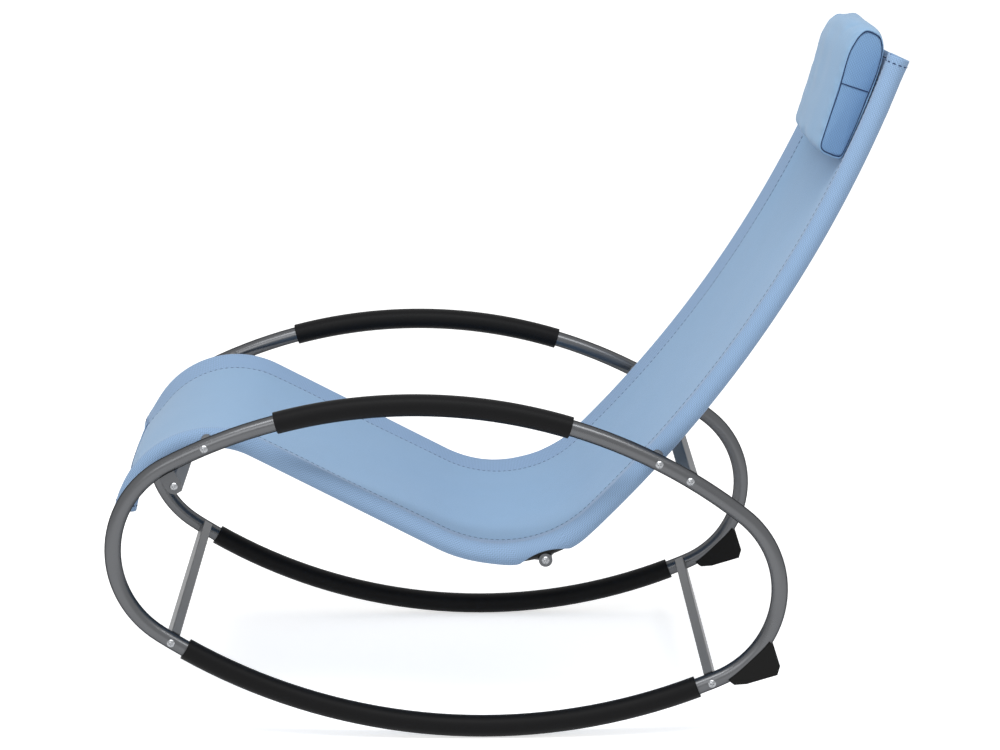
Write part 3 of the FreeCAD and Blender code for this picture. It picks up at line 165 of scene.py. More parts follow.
def link_object(name: str, data: bpy.types.ID) -> bpy.types.Object:
    """Make an object of some data and put it into the scene."""
    piece = bpy.data.objects.new(name, data)
    bpy.context.scene.collection.objects.link(piece)
    return piece


def mesh_object(name: str, patches: list[Patch], weld: float = WELD) -> bpy.types.Object:
    """Make one smooth mesh object of several patches and weld the points that meet.

    Args:
        name: Name of the piece.
        patches: Grids of points, in the row frame.
        weld: Largest distance between points that become one.

    Returns:
        The new object, linked to the scene.
    """
    points = np.concatenate([p.points.reshape(-1, 3) for p in patches])
    uv = np.concatenate([p.uv.reshape(-1, 2) for p in patches])
    quads, slots, start = [], [], 0
    for patch in patches:
        faces = patch.faces(start)
        quads.append(faces)
        slots.append(np.full(len(faces), patch.slot, np.int32))
        start += patch.points.shape[0] * patch.points.shape[1]
    faces = np.concatenate(quads)
    mesh = bpy.data.meshes.new(name)
    mesh.vertices.add(len(points))
    mesh.vertices.foreach_set("co", points.astype(np.float32).ravel())
    mesh.loops.add(faces.size)
    mesh.loops.foreach_set("vertex_index", faces.astype(np.int32).ravel())
    mesh.polygons.add(len(faces))
    mesh.polygons.foreach_set("loop_start", np.arange(0, faces.size, 4, dtype=np.int32))
    mesh.polygons.foreach_set("use_smooth", np.ones(len(faces), bool))
    layer = mesh.uv_layers.new(name="Flat")
    layer.data.foreach_set("uv", uv[faces.ravel()].astype(np.float32).ravel())
    mesh.update(calc_edges=True)
    mesh.validate()
    mesh.polygons.foreach_set("material_index", np.concatenate(slots))
    piece = link_object(name, mesh)
    weld_mesh(piece, weld)
    return piece


@contextmanager
def edited_mesh(piece: bpy.types.Object) -> Iterator[bmesh.types.BMesh]:
    """Open the mesh of a piece for editing and write it back at the end."""
    work = bmesh.new()
    work.from_mesh(piece.data)
    yield work
    work.to_mesh(piece.data)
    work.free()
    piece.data.update()


def weld_mesh(piece: bpy.types.Object, distance: float) -> None:
    """Merge the points of a piece that are nearer than a distance."""
    with edited_mesh(piece) as work:
        bmesh.ops.remove_doubles(work, verts=work.verts, dist=distance)
        bmesh.ops.dissolve_degenerate(work, edges=work.edges, dist=SHORTEST_EDGE)


def recalculate_normals(piece: bpy.types.Object) -> None:
    """Turn the faces of a closed mesh outwards."""
    with edited_mesh(piece) as work:
        bmesh.ops.recalc_face_normals(work, faces=work.faces)


def vertex_places(piece: bpy.types.Object) -> np.ndarray:
    """Positions of a mesh's vertices, n by 3."""
    flat = np.empty(len(piece.data.vertices) * 3, np.float32)
    piece.data.vertices.foreach_get("co", flat)
    return flat.reshape(-1, 3).astype(float)


def apply_modifiers(piece: bpy.types.Object) -> None:
    """Put the result of a piece's modifiers into its mesh and take the modifiers off."""
    graph = bpy.context.evaluated_depsgraph_get()
    shaped = bpy.data.meshes.new_from_object(
        piece.evaluated_get(graph), preserve_all_data_layers=True, depsgraph=graph
    )
    piece.modifiers.clear()
    old = piece.data
    piece.data = shaped
    shaped.name = piece.name
    bpy.data.meshes.remove(old)


def closed_spline(points: np.ndarray, count: int) -> np.ndarray:
    """Smooth closed curve through points: each span is a cubic whose slopes follow its neighbours.

    Args:
        points: Corners in order, n by 2.
        count: Number of points that come back, evenly spaced along the curve.

    Returns:
        Points of the curve, count by 2, the first not repeated at the end.
    """
    before, after, beyond = np.roll(points, 1, 0), np.roll(points, -1, 0), np.roll(points, -2, 0)
    t = np.linspace(0.0, 1.0, 24, endpoint=False)[None, :, None]
    a, b, c, d = before[:, None], points[:, None], after[:, None], beyond[:, None]
    cubic = 0.5 * (2 * b + (c - a) * t + (2 * a - 5 * b + 4 * c - d) * t**2 + (3 * b - a - 3 * c + d) * t**3)
    dense = cubic.reshape(-1, 2)
    ring = np.vstack([dense, dense[:1]])
    run = np.concatenate([[0.0], np.cumsum(np.linalg.norm(np.diff(ring, axis=0), axis=1))])
    want = np.linspace(0.0, run[-1], count, endpoint=False)
    return np.column_stack([np.interp(want, run, ring[:, 0]), np.interp(want, run, ring[:, 1])])


# ---- shader node groups


class Group:
    """A shader node group with named inputs and outputs."""

    def __init__(self, name: str, inputs: dict[str, tuple[Socket, object]], outputs: dict[str, Socket]) -> None:
        """Make the empty group.

        Args:
            name: Name of the group.
            inputs: Socket kind and default value by name.
            outputs: Socket kind by name.
        """
        self.tree = bpy.data.node_groups.new(name, "ShaderNodeTree")
        for label, (kind, value) in inputs.items():
            socket = self.tree.interface.new_socket(label, in_out="INPUT", socket_type=kind.value)
            if value is not None:
                socket.default_value = value
        for label, kind in outputs.items():
            self.tree.interface.new_socket(label, in_out="OUTPUT", socket_type=kind.value)
        self.source = self.tree.nodes.new("NodeGroupInput")
        self.sink = self.tree.nodes.new("NodeGroupOutput")

    def math(self, operation: str, a: object, b: object = 0.0) -> bpy.types.NodeSocket:
        """Add a Math node; each of its inputs is a socket or a number."""
        return math_node(self.tree, operation, a, b)

    def noise(self, scale: object, detail: float) -> bpy.types.NodeSocket:
        """Add a noise over the group's Vector; its scale is a socket or a number."""
        node = self.tree.nodes.new("ShaderNodeTexNoise")
        node.inputs["Detail"].default_value = detail
        self.tree.links.new(self.source.outputs["Vector"], node.inputs["Vector"])
        feed(self.tree, scale, node.inputs["Scale"])
        return node.outputs["Fac"]

    def give(self, label: str, socket: bpy.types.NodeSocket) -> None:
        """Connect a socket to one of the group's outputs."""
        self.tree.links.new(socket, self.sink.inputs[label])


def feed(tree: bpy.types.NodeTree, value: object, target: bpy.types.NodeSocket) -> None:
    """Link a socket to an input, or put a plain value into it."""
    if isinstance(value, bpy.types.NodeSocket):
        tree.links.new(value, target)
    else:
        target.default_value = value


def math_node(tree: bpy.types.NodeTree, operation: str, a: object, b: object = 0.0) -> bpy.types.NodeSocket:
    """Add a Math node to a tree.

    Args:
        tree: The node tree.
        operation: Blender's name of the operation.
        a: First input, a socket or a number.
        b: Second input, a socket or a number.

    Returns:
        The node's output.
    """
    node = tree.nodes.new("ShaderNodeMath")
    node.operation = operation
    for index, value in enumerate((a, b)):
        feed(tree, value, node.inputs[index])
    return node.outputs[0]


def mix_color(tree: bpy.types.NodeTree, factor: object, a: object, b: object) -> bpy.types.NodeSocket:
    """Add a colour mix whose factor and colours are sockets or plain values."""
    node = tree.nodes.new("ShaderNodeMix")
    node.data_type = "RGBA"
    for index, value in ((MIX_FACTOR, factor), (MIX_A, a), (MIX_B, b)):
        feed(tree, value, node.inputs[index])
    return node.outputs[MIX_COLOR]


def weave_group() -> bpy.types.NodeTree:
    """Woven cloth: warp and weft threads that pass over and under each other, optionally as a twill.

    The height of a thread is the absolute sine across it, and each thread comes up where a slower wave
    along it is high; the twill slants that wave by one thread for each crossing.

    Returns:
        The group, with Height, Thread and Blotch outputs.
    """
    group = Group(
        "cloth_weave",
        {
            "Vector": (Socket.VECTOR, None),
            "Warp pitch": (Socket.VALUE, 0.0012),
            "Weft pitch": (Socket.VALUE, 0.0012),
            "Twill": (Socket.VALUE, 0.0),
        },
        {"Height": Socket.VALUE, "Thread": Socket.VALUE, "Blotch": Socket.VALUE},
    )
    tree = group.tree
    split = tree.nodes.new("ShaderNodeSeparateXYZ")
    tree.links.new(group.source.outputs["Vector"], split.inputs[0])
    u = group.math("DIVIDE", split.outputs[0], group.source.outputs["Warp pitch"])
    v = group.math("DIVIDE", split.outputs[1], group.source.outputs["Weft pitch"])
    across, along = (
        group.math("ABSOLUTE", group.math("SINE", group.math("MULTIPLY", way, math.pi))) for way in (u, v)
    )
    slant = group.math("MULTIPLY", group.math("ADD", u, v), group.source.outputs["Twill"])
    check = group.math("ADD", group.math("MULTIPLY", u, math.pi), group.math("MULTIPLY", v, math.pi))
    cross = group.math("SINE", group.math("ADD", check, slant))
    over = group.math("ADD", group.math("MULTIPLY", cross, 0.5), 0.5)
    warp = group.math("MULTIPLY", across, over)
    weft = group.math("MULTIPLY", along, group.math("SUBTRACT", 1.0, over))
    group.give("Height", group.math("ADD", warp, weft))
    group.give("Thread", over)
    group.give("Blotch", group.noise(22.0, 3.0))
    return tree


def grain_group() -> bpy.types.NodeTree:
    """Fine pebbled skin of a coat or moulding: two sizes of noise added up, and broad soft unevenness.

    Returns:
        The group, with Height, Fine and Broad outputs.
    """
    group = Group(
        "skin_grain",
        {"Vector": (Socket.VECTOR, None), "Grain size": (Socket.VALUE, 0.0006)},
        {"Height": Socket.VALUE, "Fine": Socket.VALUE, "Broad": Socket.VALUE},
    )
    fine = group.noise(group.math("DIVIDE", 1.0, group.source.outputs["Grain size"]), 2.0)
    broad = group.noise(9.0, 4.0)
    group.give("Height", group.math("ADD", fine, group.math("MULTIPLY", broad, 0.4)))
    group.give("Fine", fine)
    group.give("Broad", broad)
    return group.tree


# ---- finishes


Color = tuple[float, float, float, float]


@dataclass(frozen=True)
class Finish:
    """What every material starts from.

    Args:
        name: Name of the material.
        color: Linear base colour.
        roughness: Middle of the roughness range.
        metallic: Metallic value.
        specular: How strong reflections are under the surface's own colour; 0.5 is plain plastic.
    """

    name: str
    color: Color
    roughness: float
    metallic: float = 0.0
    specular: float = 0.5

    def start(self) -> tuple[bpy.types.Material, bpy.types.NodeTree, bpy.types.Node]:
        """Make the material and hand back its tree and its Principled shader."""
        material = bpy.data.materials.new(self.name)
        material.use_nodes = True
        tree = material.node_tree
        shader = tree.nodes["Principled BSDF"]
        shader.inputs["Base Color"].default_value = self.color
        shader.inputs["Roughness"].default_value = self.roughness
        shader.inputs["Metallic"].default_value = self.metallic
        shader.inputs["Specular IOR Level"].default_value = self.specular
        material.diffuse_color = self.color
        return material, tree, shader


def shade(color: Color, factor: float) -> Color:
    """The same colour, lighter or darker."""
    return (color[0] * factor, color[1] * factor, color[2] * factor, 1.0)


def add_bump(tree: bpy.types.NodeTree, shader: bpy.types.Node, height: object, strength: float, depth: float) -> None:
    """Feed a height into the shader's normal through a Bump node.

    Args:
        tree: The material's tree.
        shader: Its Principled shader.
        height: Socket with the height, about 0 to 1.
        strength: Strength of the bump.
        depth: Height of 1, in metres.
    """
    bump = tree.nodes.new("ShaderNodeBump")
    bump.inputs["Strength"].default_value = strength
    bump.inputs["Distance"].default_value = depth
    tree.links.new(height, bump.inputs["Height"])
    tree.links.new(bump.outputs["Normal"], shader.inputs["Normal"])


@dataclass(frozen=True)
class Coat(Finish):
    """Painted, plated or moulded surface with a fine grain.

    Args:
        grain: Grain size in metres.
        depth: Height of the grain in metres.
        uneven: How far roughness changes over the surface.
        rim: Brightness of a metallic surface where it turns away from the eye.
    """

    grain: float = 0.0006
    depth: float = 0.00003
    uneven: float = 0.08
    rim: float = 1.0

    def build(self, grain_tree: bpy.types.NodeTree) -> bpy.types.Material:
        """Make the material.

        Args:
            grain_tree: The shared grain group.

        Returns:
            The finished material.
        """
        material, tree, shader = self.start()
        place = tree.nodes.new("ShaderNodeTexCoord")
        skin = tree.nodes.new("ShaderNodeGroup")
        skin.node_tree = grain_tree
        skin.inputs["Grain size"].default_value = self.grain
        tree.links.new(place.outputs["Object"], skin.inputs["Vector"])
        blend = math_node(tree, "MULTIPLY", skin.outputs["Broad"], 0.5)
        blend = math_node(tree, "ADD", blend, math_node(tree, "MULTIPLY", skin.outputs["Fine"], 0.5))
        color = mix_color(tree, blend, shade(self.color, 0.9), shade(self.color, 1.1))
        tree.links.new(color, shader.inputs["Base Color"])
        rough = math_node(tree, "MULTIPLY", math_node(tree, "SUBTRACT", skin.outputs["Broad"], 0.5), self.uneven)
        tree.links.new(math_node(tree, "ADD", rough, self.roughness), shader.inputs["Roughness"])
        add_bump(tree, shader, skin.outputs["Height"], 0.6, self.depth)
        shader.inputs["Specular Tint"].default_value = (self.rim, self.rim, self.rim, 1.0)
        return material


@dataclass(frozen=True)
class Cloth(Finish):
    """Woven synthetic cloth that follows the flat cut of the piece.

    Args:
        warp: Pitch of the threads across the piece, in metres.
        weft: Pitch of the threads along the piece, in metres.
        twill: How far each crossing is slanted.
        depth: Height of the threads in metres.
        contrast: How much darker the gaps between threads are.
        sheen: Weight of the soft edge sheen.
    """

    warp: float = 0.0012
    weft: float = 0.0012
    twill: float = 0.0
    depth: float = 0.00015
    contrast: float = 0.25
    sheen: float = 0.15

    def build(self, weave_tree: bpy.types.NodeTree) -> bpy.types.Material:
        """Make the material.

        Args:
            weave_tree: The shared weave group.

        Returns:
            The finished material.
        """
        material, tree, shader = self.start()
        flat = tree.nodes.new("ShaderNodeUVMap")
        flat.uv_map = "Flat"
        weave = tree.nodes.new("ShaderNodeGroup")
        weave.node_tree = weave_tree
        weave.inputs["Warp pitch"].default_value = self.warp
        weave.inputs["Weft pitch"].default_value = self.weft
        weave.inputs["Twill"].default_value = self.twill
        tree.links.new(flat.outputs["UV"], weave.inputs["Vector"])
        dark = shade(self.color, 1.0 - self.contrast)
        color = mix_color(tree, weave.outputs["Height"], dark, shade(self.color, 1.0 + self.contrast * 0.25))
        blotch = math_node(tree, "MULTIPLY", math_node(tree, "SUBTRACT", weave.outputs["Blotch"], 0.35), 0.5)
        color = mix_color(tree, blotch, color, shade(self.color, 0.86))
        tree.links.new(color, shader.inputs["Base Color"])
        rough = math_node(tree, "MULTIPLY", weave.outputs["Thread"], 0.12)
        tree.links.new(math_node(tree, "ADD", rough, self.roughness - 0.06), shader.inputs["Roughness"])
        add_bump(tree, shader, weave.outputs["Height"], 0.5, self.depth)
        shader.inputs["Sheen Weight"].default_value = self.sheen
        shader.inputs["Sheen Roughness"].default_value = 0.5
        return material


SLING_BLUE: Color = (0.265, 0.425, 0.63, 1.0)


@dataclass
class Finishes:
    """Every finish of the chair, built once."""

    grain: bpy.types.NodeTree = field(default_factory=grain_group)
    weave: bpy.types.NodeTree = field(default_factory=weave_group)
    made: dict[str, bpy.types.Material] = field(default_factory=dict)

    def build(self) -> None:
        """Make all materials."""
        coats = (
            Coat("silver_grey_powder_coat", (0.114, 0.117, 0.123, 1.0), 0.28, 0.95, grain=0.0009, depth=0.00002,
                 rim=0.12),
            Coat("silver_grey_flat_bar", (0.100, 0.104, 0.111, 1.0), 0.42, 0.6, grain=0.0009, depth=0.00002),
            Coat("black_foam_sleeve", (0.0045, 0.0045, 0.005, 1.0), 0.5, 0.0, 0.11, grain=0.0012, depth=0.00006,
                 uneven=0.12),
            Coat("black_plastic", (0.0050, 0.0055, 0.0055, 1.0), 0.48, 0.0, 0.15, grain=0.0007, depth=0.00003),
            Coat("black_rubber", (0.006, 0.006, 0.006, 1.0), 0.62, 0.0, 0.13, grain=0.0011, depth=0.00006,
                 uneven=0.15),
            Coat("grey_plastic", (0.10, 0.102, 0.106, 1.0), 0.5, 0.0, 0.3, grain=0.0007, depth=0.00003),
            Coat("zinc_plate", (0.33, 0.34, 0.355, 1.0), 0.2, 1.0, grain=0.0004, depth=0.00001, rim=0.3),
        )
        cloths = (
            Cloth("sling_cloth", SLING_BLUE, 0.72, 0.0, 0.25, warp=0.0011, weft=0.0011, contrast=0.2),
            Cloth("ribbed_cloth", (0.262, 0.398, 0.600, 1.0), 0.74, 0.0, 0.25, warp=0.0028, weft=0.0027, twill=0.5,
                  depth=0.00025, contrast=0.38),
            Cloth("side_panel_cloth", (0.185, 0.325, 0.530, 1.0), 0.76, 0.0, 0.25, warp=0.0026, weft=0.0024,
                  twill=0.5, depth=0.00025, contrast=0.35),
            Cloth("pillow_cloth", (0.245, 0.405, 0.6, 1.0), 0.78, 0.0, 0.25, warp=0.0009, weft=0.0009, contrast=0.12,
                  depth=0.00008, sheen=0.2),
            Cloth("sewing_thread", (0.022, 0.045, 0.115, 1.0), 0.7, 0.0, 0.1, warp=0.0007, weft=0.0004,
                  contrast=0.35),
            Cloth("hook_and_loop_tape", (0.02, 0.03, 0.05, 1.0), 0.9, 0.0, 0.2, warp=0.0016, weft=0.0016,
                  contrast=0.5, depth=0.0006),
        )
        for coat in coats:
            self.made[coat.name] = coat.build(self.grain)
        for cloth in cloths:
            self.made[cloth.name] = cloth.build(self.weave)

    def dress(self, piece: bpy.types.Object, *names: str) -> None:
        """Give a new piece its materials in slot order."""
        for name in names:
            piece.data.materials.append(self.made[name])

    def redress(self, node: bpy.types.Object, name: str) -> None:
        """Put a material in every slot of a carried-over node."""
        for slot in node.material_slots:
            slot.material = self.made[name]


NODE_FINISH: dict[str, str] = {
    "hoop_": "silver_grey_powder_coat",
    "crossbar_": "silver_grey_flat_bar",
    "front_lug": "silver_grey_flat_bar",
    "seat_": "silver_grey_powder_coat",
    "back_": "silver_grey_powder_coat",
    "joint_bosses": "silver_grey_flat_bar",
    "head_spreader": "silver_grey_flat_bar",
    "foot_spreader": "silver_grey_flat_bar",
    "arm_sleeve": "black_foam_sleeve",
    "rocker_sleeve": "black_foam_sleeve",
    "joint_sleeve": "black_plastic",
    "rail_spacers": "grey_plastic",
    "rail_end_plugs": "black_plastic",
    "stopper_": "black_rubber",
    "loop_strips": "hook_and_loop_tape",
    "hook_pads": "hook_and_loop_tape",
}
ZINC_NODES = (
    "stopper_screws",
    "crossbar_nuts",
    "crossbar_screws",
    "lug_screws",
    "joint_screws",
    "joint_nuts",
    "rail_screws",
    "rail_inserts",
)


def dress_frame(nodes: dict[str, bpy.types.Object], finishes: Finishes) -> None:
    """Give every carried-over node its finish.

    Args:
        nodes: The frame's nodes by name.
        finishes: The chair's finishes.
    """
    for name, node in nodes.items():
        if name in ZINC_NODES:
            finishes.redress(node, "zinc_plate")
            continue
        for prefix, finish in NODE_FINISH.items():
            if name.startswith(prefix):
                finishes.redress(node, finish)
                break


# ---- the line that the sling and the side rails follow


@dataclass(frozen=True)
class SideLine:
    """Centre line of the side rails seen from the side: knee bend, straight seat, corner bend, long back bend."""

    crest_x: float = -0.43807
    crest_z: float = 0.32201
    crest_radius: float = 0.1366
    foot_turn: float = math.radians(79.0)
    seat_slope: float = math.radians(27.6)
    seat_length: float = 0.317
    corner_radius: float = 0.2004
    back_slope: float = math.radians(44.8)
    back_radius: float = 1.864
    back_length: float = 0.835

    @property
    def breaks(self) -> tuple[float, float, float, float]:
        """Arc lengths at the end of the knee bend, the seat, the corner bend and the back."""
        knee = self.crest_radius * (self.foot_turn + self.seat_slope)
        seat = knee + self.seat_length
        corner = seat + self.corner_radius * (self.seat_slope + self.back_slope)
        return knee, seat, corner, corner + self.back_length

    @property
    def length(self) -> float:
        """Length of the whole line."""
        return self.breaks[3]

    @property
    def crest(self) -> np.ndarray:
        """Centre of the knee bend."""
        return np.array([self.crest_x, self.crest_z])

    @property
    def seat_way(self) -> np.ndarray:
        """Direction of the straight seat, towards the head end."""
        return np.array([math.cos(self.seat_slope), -math.sin(self.seat_slope)])

    @property
    def seat_up(self) -> np.ndarray:
        """Direction square to the straight seat, to the sitter's side."""
        return np.array([math.sin(self.seat_slope), math.cos(self.seat_slope)])

    @property
    def seat_start(self) -> np.ndarray:
        """Where the knee bend ends and the straight seat starts."""
        return self.crest + self.crest_radius * self.seat_up

    @property
    def corner_centre(self) -> np.ndarray:
        """Centre of the corner bend."""
        return self.seat_start + self.seat_length * self.seat_way + self.corner_radius * self.seat_up

    @property
    def back_centre(self) -> np.ndarray:
        """Centre of the back's long bend."""
        rise = self.back_slope
        gap = self.back_radius - self.corner_radius
        return self.corner_centre + gap * np.array([-math.sin(rise), math.cos(rise)])

    def slope(self, run: np.ndarray) -> np.ndarray:
        """Climb of the line at each arc length, in radians."""
        knee, seat, corner, _ = self.breaks
        return np.select(
            [run < knee, run < seat, run < corner],
            [
                self.foot_turn - run / self.crest_radius,
                np.full_like(run, -self.seat_slope),
                -self.seat_slope + (run - seat) / self.corner_radius,
            ],
            self.back_slope + (run - corner) / self.back_radius,
        )

    def normal(self, run: np.ndarray) -> np.ndarray:
        """Direction square to the line at each arc length, to the sitter's side, as X and Z."""
        slope = self.slope(run)
        return np.stack([-np.sin(slope), np.cos(slope)], axis=-1)

    def point(self, run: np.ndarray) -> np.ndarray:
        """Positions along the line: on each bend the centre plus its radius along the normal.

        Args:
            run: Arc lengths from the foot end.

        Returns:
            X and Z of each point, in the last axis.
        """
        knee, seat, corner, _ = self.breaks
        normal = self.normal(run)
        crest = self.crest + self.crest_radius * normal
        straight = self.seat_start + (run - knee)[..., None] * self.seat_way
        bend = self.corner_centre - self.corner_radius * normal
        back = self.back_centre - self.back_radius * normal
        pick = [(run < knee)[..., None], (run < seat)[..., None], (run < corner)[..., None]]
        return np.select(pick, [crest, straight, bend], back)

    def place(self, run: np.ndarray, y: np.ndarray, lift: np.ndarray) -> np.ndarray:
        """Points at an arc length, a lateral place and a height over the line.

        Args:
            run: Arc lengths.
            y: Lateral places.
            lift: Heights along the normal, to the sitter's side.

        Returns:
            Positions, with x, y, z in the last axis.
        """
        spot = self.point(run) + lift[..., None] * self.normal(run)
        return np.stack([spot[..., 0], y, spot[..., 1]], axis=-1)


# ---- the sling


@dataclass
class Sling:
    """One cloth panel with a hem round each side rail, stitched along the rails and across both ends.

    The places along the line in the tables are arc lengths from the foot end, in metres.

    Args:
        line: The rails' line.
        rail_y: Rail to the middle of the chair.
        hem_radius: Hem's middle surface, close on the rail.
        joint_swell: Added to that radius over the joint's sleeve.
        joint_droop: Added below at both tips of the cut-out.
        thickness: Cloth thickness.
        stitch_y: Side seam to the middle of the chair.
        under_ply: How far the under ply reaches inboard of the seam.
        over_ply: The same for the upper ply, which turns into the sheet.
        end_draw: How far the free ends are drawn in at the middle.
        foot_stand: How far the foot end stands off the line.
        end_fold: Cloth folded in at each end.
        joint_turn: Angle round the corner bend to the joint.
        cut_radius: Radius of the round cut-out.
        cut_cover: How far below the line the cut-out's top lies.
        step: Row pitch; joint_zone is half the length with closer rows.
        stitch_pitch: Stitch to stitch; stitch_size is a stitch's length, width and height.
        stitch_inset: Stitches inboard of the seam's line.
        end_stitch: Seam across an end to that end.
        hem_columns: Columns of a hem's outer half, under_columns of its inner half, sheet_columns between.
        seam_lift: Height of the seams over the line, by place.
        middle_lift: Height of the sheet's middle over the line, by place.
    """

    line: SideLine
    rail_y: float = 0.2475
    hem_radius: float = 0.0149
    joint_swell: float = 0.0011
    joint_droop: float = 0.0025
    thickness: float = 0.0012
    stitch_y: float = 0.2030
    under_ply: float = 0.009
    over_ply: float = 0.0035
    end_draw: float = 0.008
    foot_stand: float = 0.0065
    end_fold: float = 0.013
    joint_turn: float = math.radians(17.9)
    cut_radius: float = 0.0834
    cut_cover: float = 0.0025
    step: float = 0.0085
    joint_zone: float = 0.06
    stitch_pitch: float = 0.0090
    stitch_size: tuple[float, float, float] = (0.0060, 0.0021, 0.0012)
    stitch_inset: float = 0.0012
    end_stitch: float = 0.0095
    hem_columns: int = 26
    under_columns: int = 20
    sheet_columns: int = 45
    seam_lift: tuple[tuple[float, float], ...] = (
        (0.0, 0.0125), (0.02, 0.0080), (0.05, 0.0032), (0.10, 0.0016), (0.18, 0.0028), (0.28, 0.0056),
        (0.42, 0.0060), (0.55, 0.0076), (0.65, 0.0080), (0.75, 0.0078), (0.87, 0.0088), (1.00, 0.0080),
        (1.25, 0.0078), (1.69, 0.0084),
    )
    middle_lift: tuple[tuple[float, float], ...] = (
        (0.0, 0.0160), (0.025, 0.0120), (0.06, 0.0052), (0.11, -0.0010), (0.18, -0.0022), (0.30, 0.0002),
        (0.50, 0.0030), (0.70, 0.0052), (0.90, 0.0050), (1.08, 0.0022), (1.26, 0.0004), (1.37, -0.0038),
        (1.69, -0.0040),
    )

    def rows(self) -> np.ndarray:
        """Arc lengths of the rows: even, closer together at the joint's cut-out and at both ends."""
        middle = self.joint_run()
        margin, gap = 0.02, 0.002
        even = np.arange(margin, self.line.length - margin, self.step)
        even = even[np.abs(even - middle) > self.joint_zone + gap]
        fine = middle + np.linspace(-self.joint_zone, self.joint_zone, 55)
        ends = np.array([0.0, 0.001, 0.004, 0.010])
        return np.sort(np.concatenate([even, fine, ends, self.line.length - ends]))

    def joint_run(self) -> float:
        """Arc length at the rail joint."""
        return self.line.breaks[1] + self.line.corner_radius * (self.line.seat_slope + self.joint_turn)

    def cut_lift(self, run: np.ndarray) -> np.ndarray:
        """Height over the rail's line where the round cut-out's edge lies, far below where there is none.

        The edge is the nearer crossing of the line's normal with the cut-out's circle.
        """
        turn = self.joint_turn
        out = np.array([math.sin(turn), -math.cos(turn)])
        centre = self.line.corner_centre + (self.line.corner_radius + self.cut_radius + self.cut_cover) * out
        normal = self.line.normal(run)
        gap = self.line.point(run) - centre
        along = (gap * normal).sum(-1)
        apart = along**2 - (gap**2).sum(-1) + self.cut_radius**2
        return np.where(apart > 0, -along + np.sqrt(np.maximum(apart, 0.0)), -1.0)

    def radius(self, run: np.ndarray) -> np.ndarray:
        """Radius of the hem: close on the rail, wider over the joint's sleeve and at the open ends."""
        joint = np.exp(-(((run - self.joint_run()) / 0.062) ** 6))
        ends = 1.0 - smoothstep(0.0, 0.035, np.minimum(run, self.line.length - run))
        return self.hem_radius + self.joint_swell * joint + 0.0012 * ends

    def low_radius(self, run: np.ndarray) -> np.ndarray:
        """Half height of the hem's lower half, which hangs a little at both tips of the cut-out."""
        apart = np.abs(run - self.joint_run())
        return self.radius(run) + self.joint_droop * np.exp(-(((apart - 0.046) / 0.030) ** 2))

    def hem_ripple(self, run: np.ndarray, turn: np.ndarray, side: Side) -> np.ndarray:
        """Small uneven fullness of the hem, most at the inside of the bends and at the cut-out."""
        bend = np.exp(-(((run - self.joint_run() + 0.02) / 0.11) ** 2))
        knee = np.exp(-(((run - 0.16) / 0.12) ** 2))
        crush = (0.2 + 0.5 * bend + 0.25 * knee) * 0.00045
        seed = 11 if side is Side.LEFT else 12
        return crush * (1.0 + smooth_ripple(run / 0.05, turn / 3.0, seed))

    def sheet_lift(self, run: np.ndarray, y: np.ndarray) -> np.ndarray:
        """Height of the flat part: from the seams' height to the middle's by a power of the share across.

        The power is 2.4 along the seat and back and 5 under the pillow, where the cloth lies flatter.
        """
        share = np.clip(np.abs(y) / self.stitch_y, 0.0, 1.05)
        edge, middle = smooth_table(run, self.seam_lift), smooth_table(run, self.middle_lift)
        power = 2.4 + 2.6 * smoothstep(1.25, 1.37, run)
        free = 1.0 - smoothstep(1.27, 1.37, run)
        loose = 0.0010 * free * (1.0 - np.minimum(share, 1.0) ** 4) * smooth_ripple(run / 0.35, y / 0.28, 31)
        groove = -0.0008 * np.exp(-(((np.abs(y) - self.stitch_y + self.stitch_inset) / 0.0026) ** 2))
        return middle + (edge - middle) * share**power + loose + groove + self.stand(run, y / self.stitch_y)

    def stand(self, run: np.ndarray, share: object) -> np.ndarray:
        """How far the foot end stands off the line, more on the right: share is Y over the seams' Y."""
        return self.foot_stand * np.exp(-((run / 0.025) ** 2)) * np.clip(share, -0.6, 1.0)

    def tangent(self, run: np.ndarray, way: int, side: Side) -> np.ndarray:
        """Angle round the rail where the cloth to the seam leaves the hem: top for -1, underside for 1."""
        lift = smooth_table(run, self.seam_lift) + self.stand(run, side.value)
        reach = self.rail_y - self.stitch_y
        seam = np.arctan2(lift, -reach)
        return seam + way * np.arccos(self.radius(run) / np.hypot(lift, reach))

    def half_hem(self, run: np.ndarray, side: Side) -> tuple[np.ndarray, np.ndarray]:
        """Outer half of a hem: from its lowest line over the outside and the top to the seam.

        A circle in the upper half and an ellipse in the lower one, then straight to the seam. At the foot end
        the right one's upper half stands off its rail.

        Args:
            run: Arc lengths, as a column.
            side: Which rail.

        Returns:
            Outboard distance from the rail's plane and lift, rows by columns.
        """
        share = np.linspace(0.0, 1.0, self.hem_columns)[None, :]
        low = self.low_radius(run)
        first = np.arcsin(np.clip(self.cut_lift(run) / low, -1.0, 0.0))
        angle = first + (self.tangent(run, -1, side) - first) * share
        swell = self.hem_ripple(run, angle, side) * np.sin(np.pi * share)
        round_radius = self.radius(run) + swell
        high = round_radius + np.maximum(self.stand(run, side.value), 0.0)
        lift = np.where(angle < 0, low + swell, high) * np.sin(angle)
        return self.to_seam(run, round_radius * np.cos(angle), lift, 0.0, self.over_ply, side)

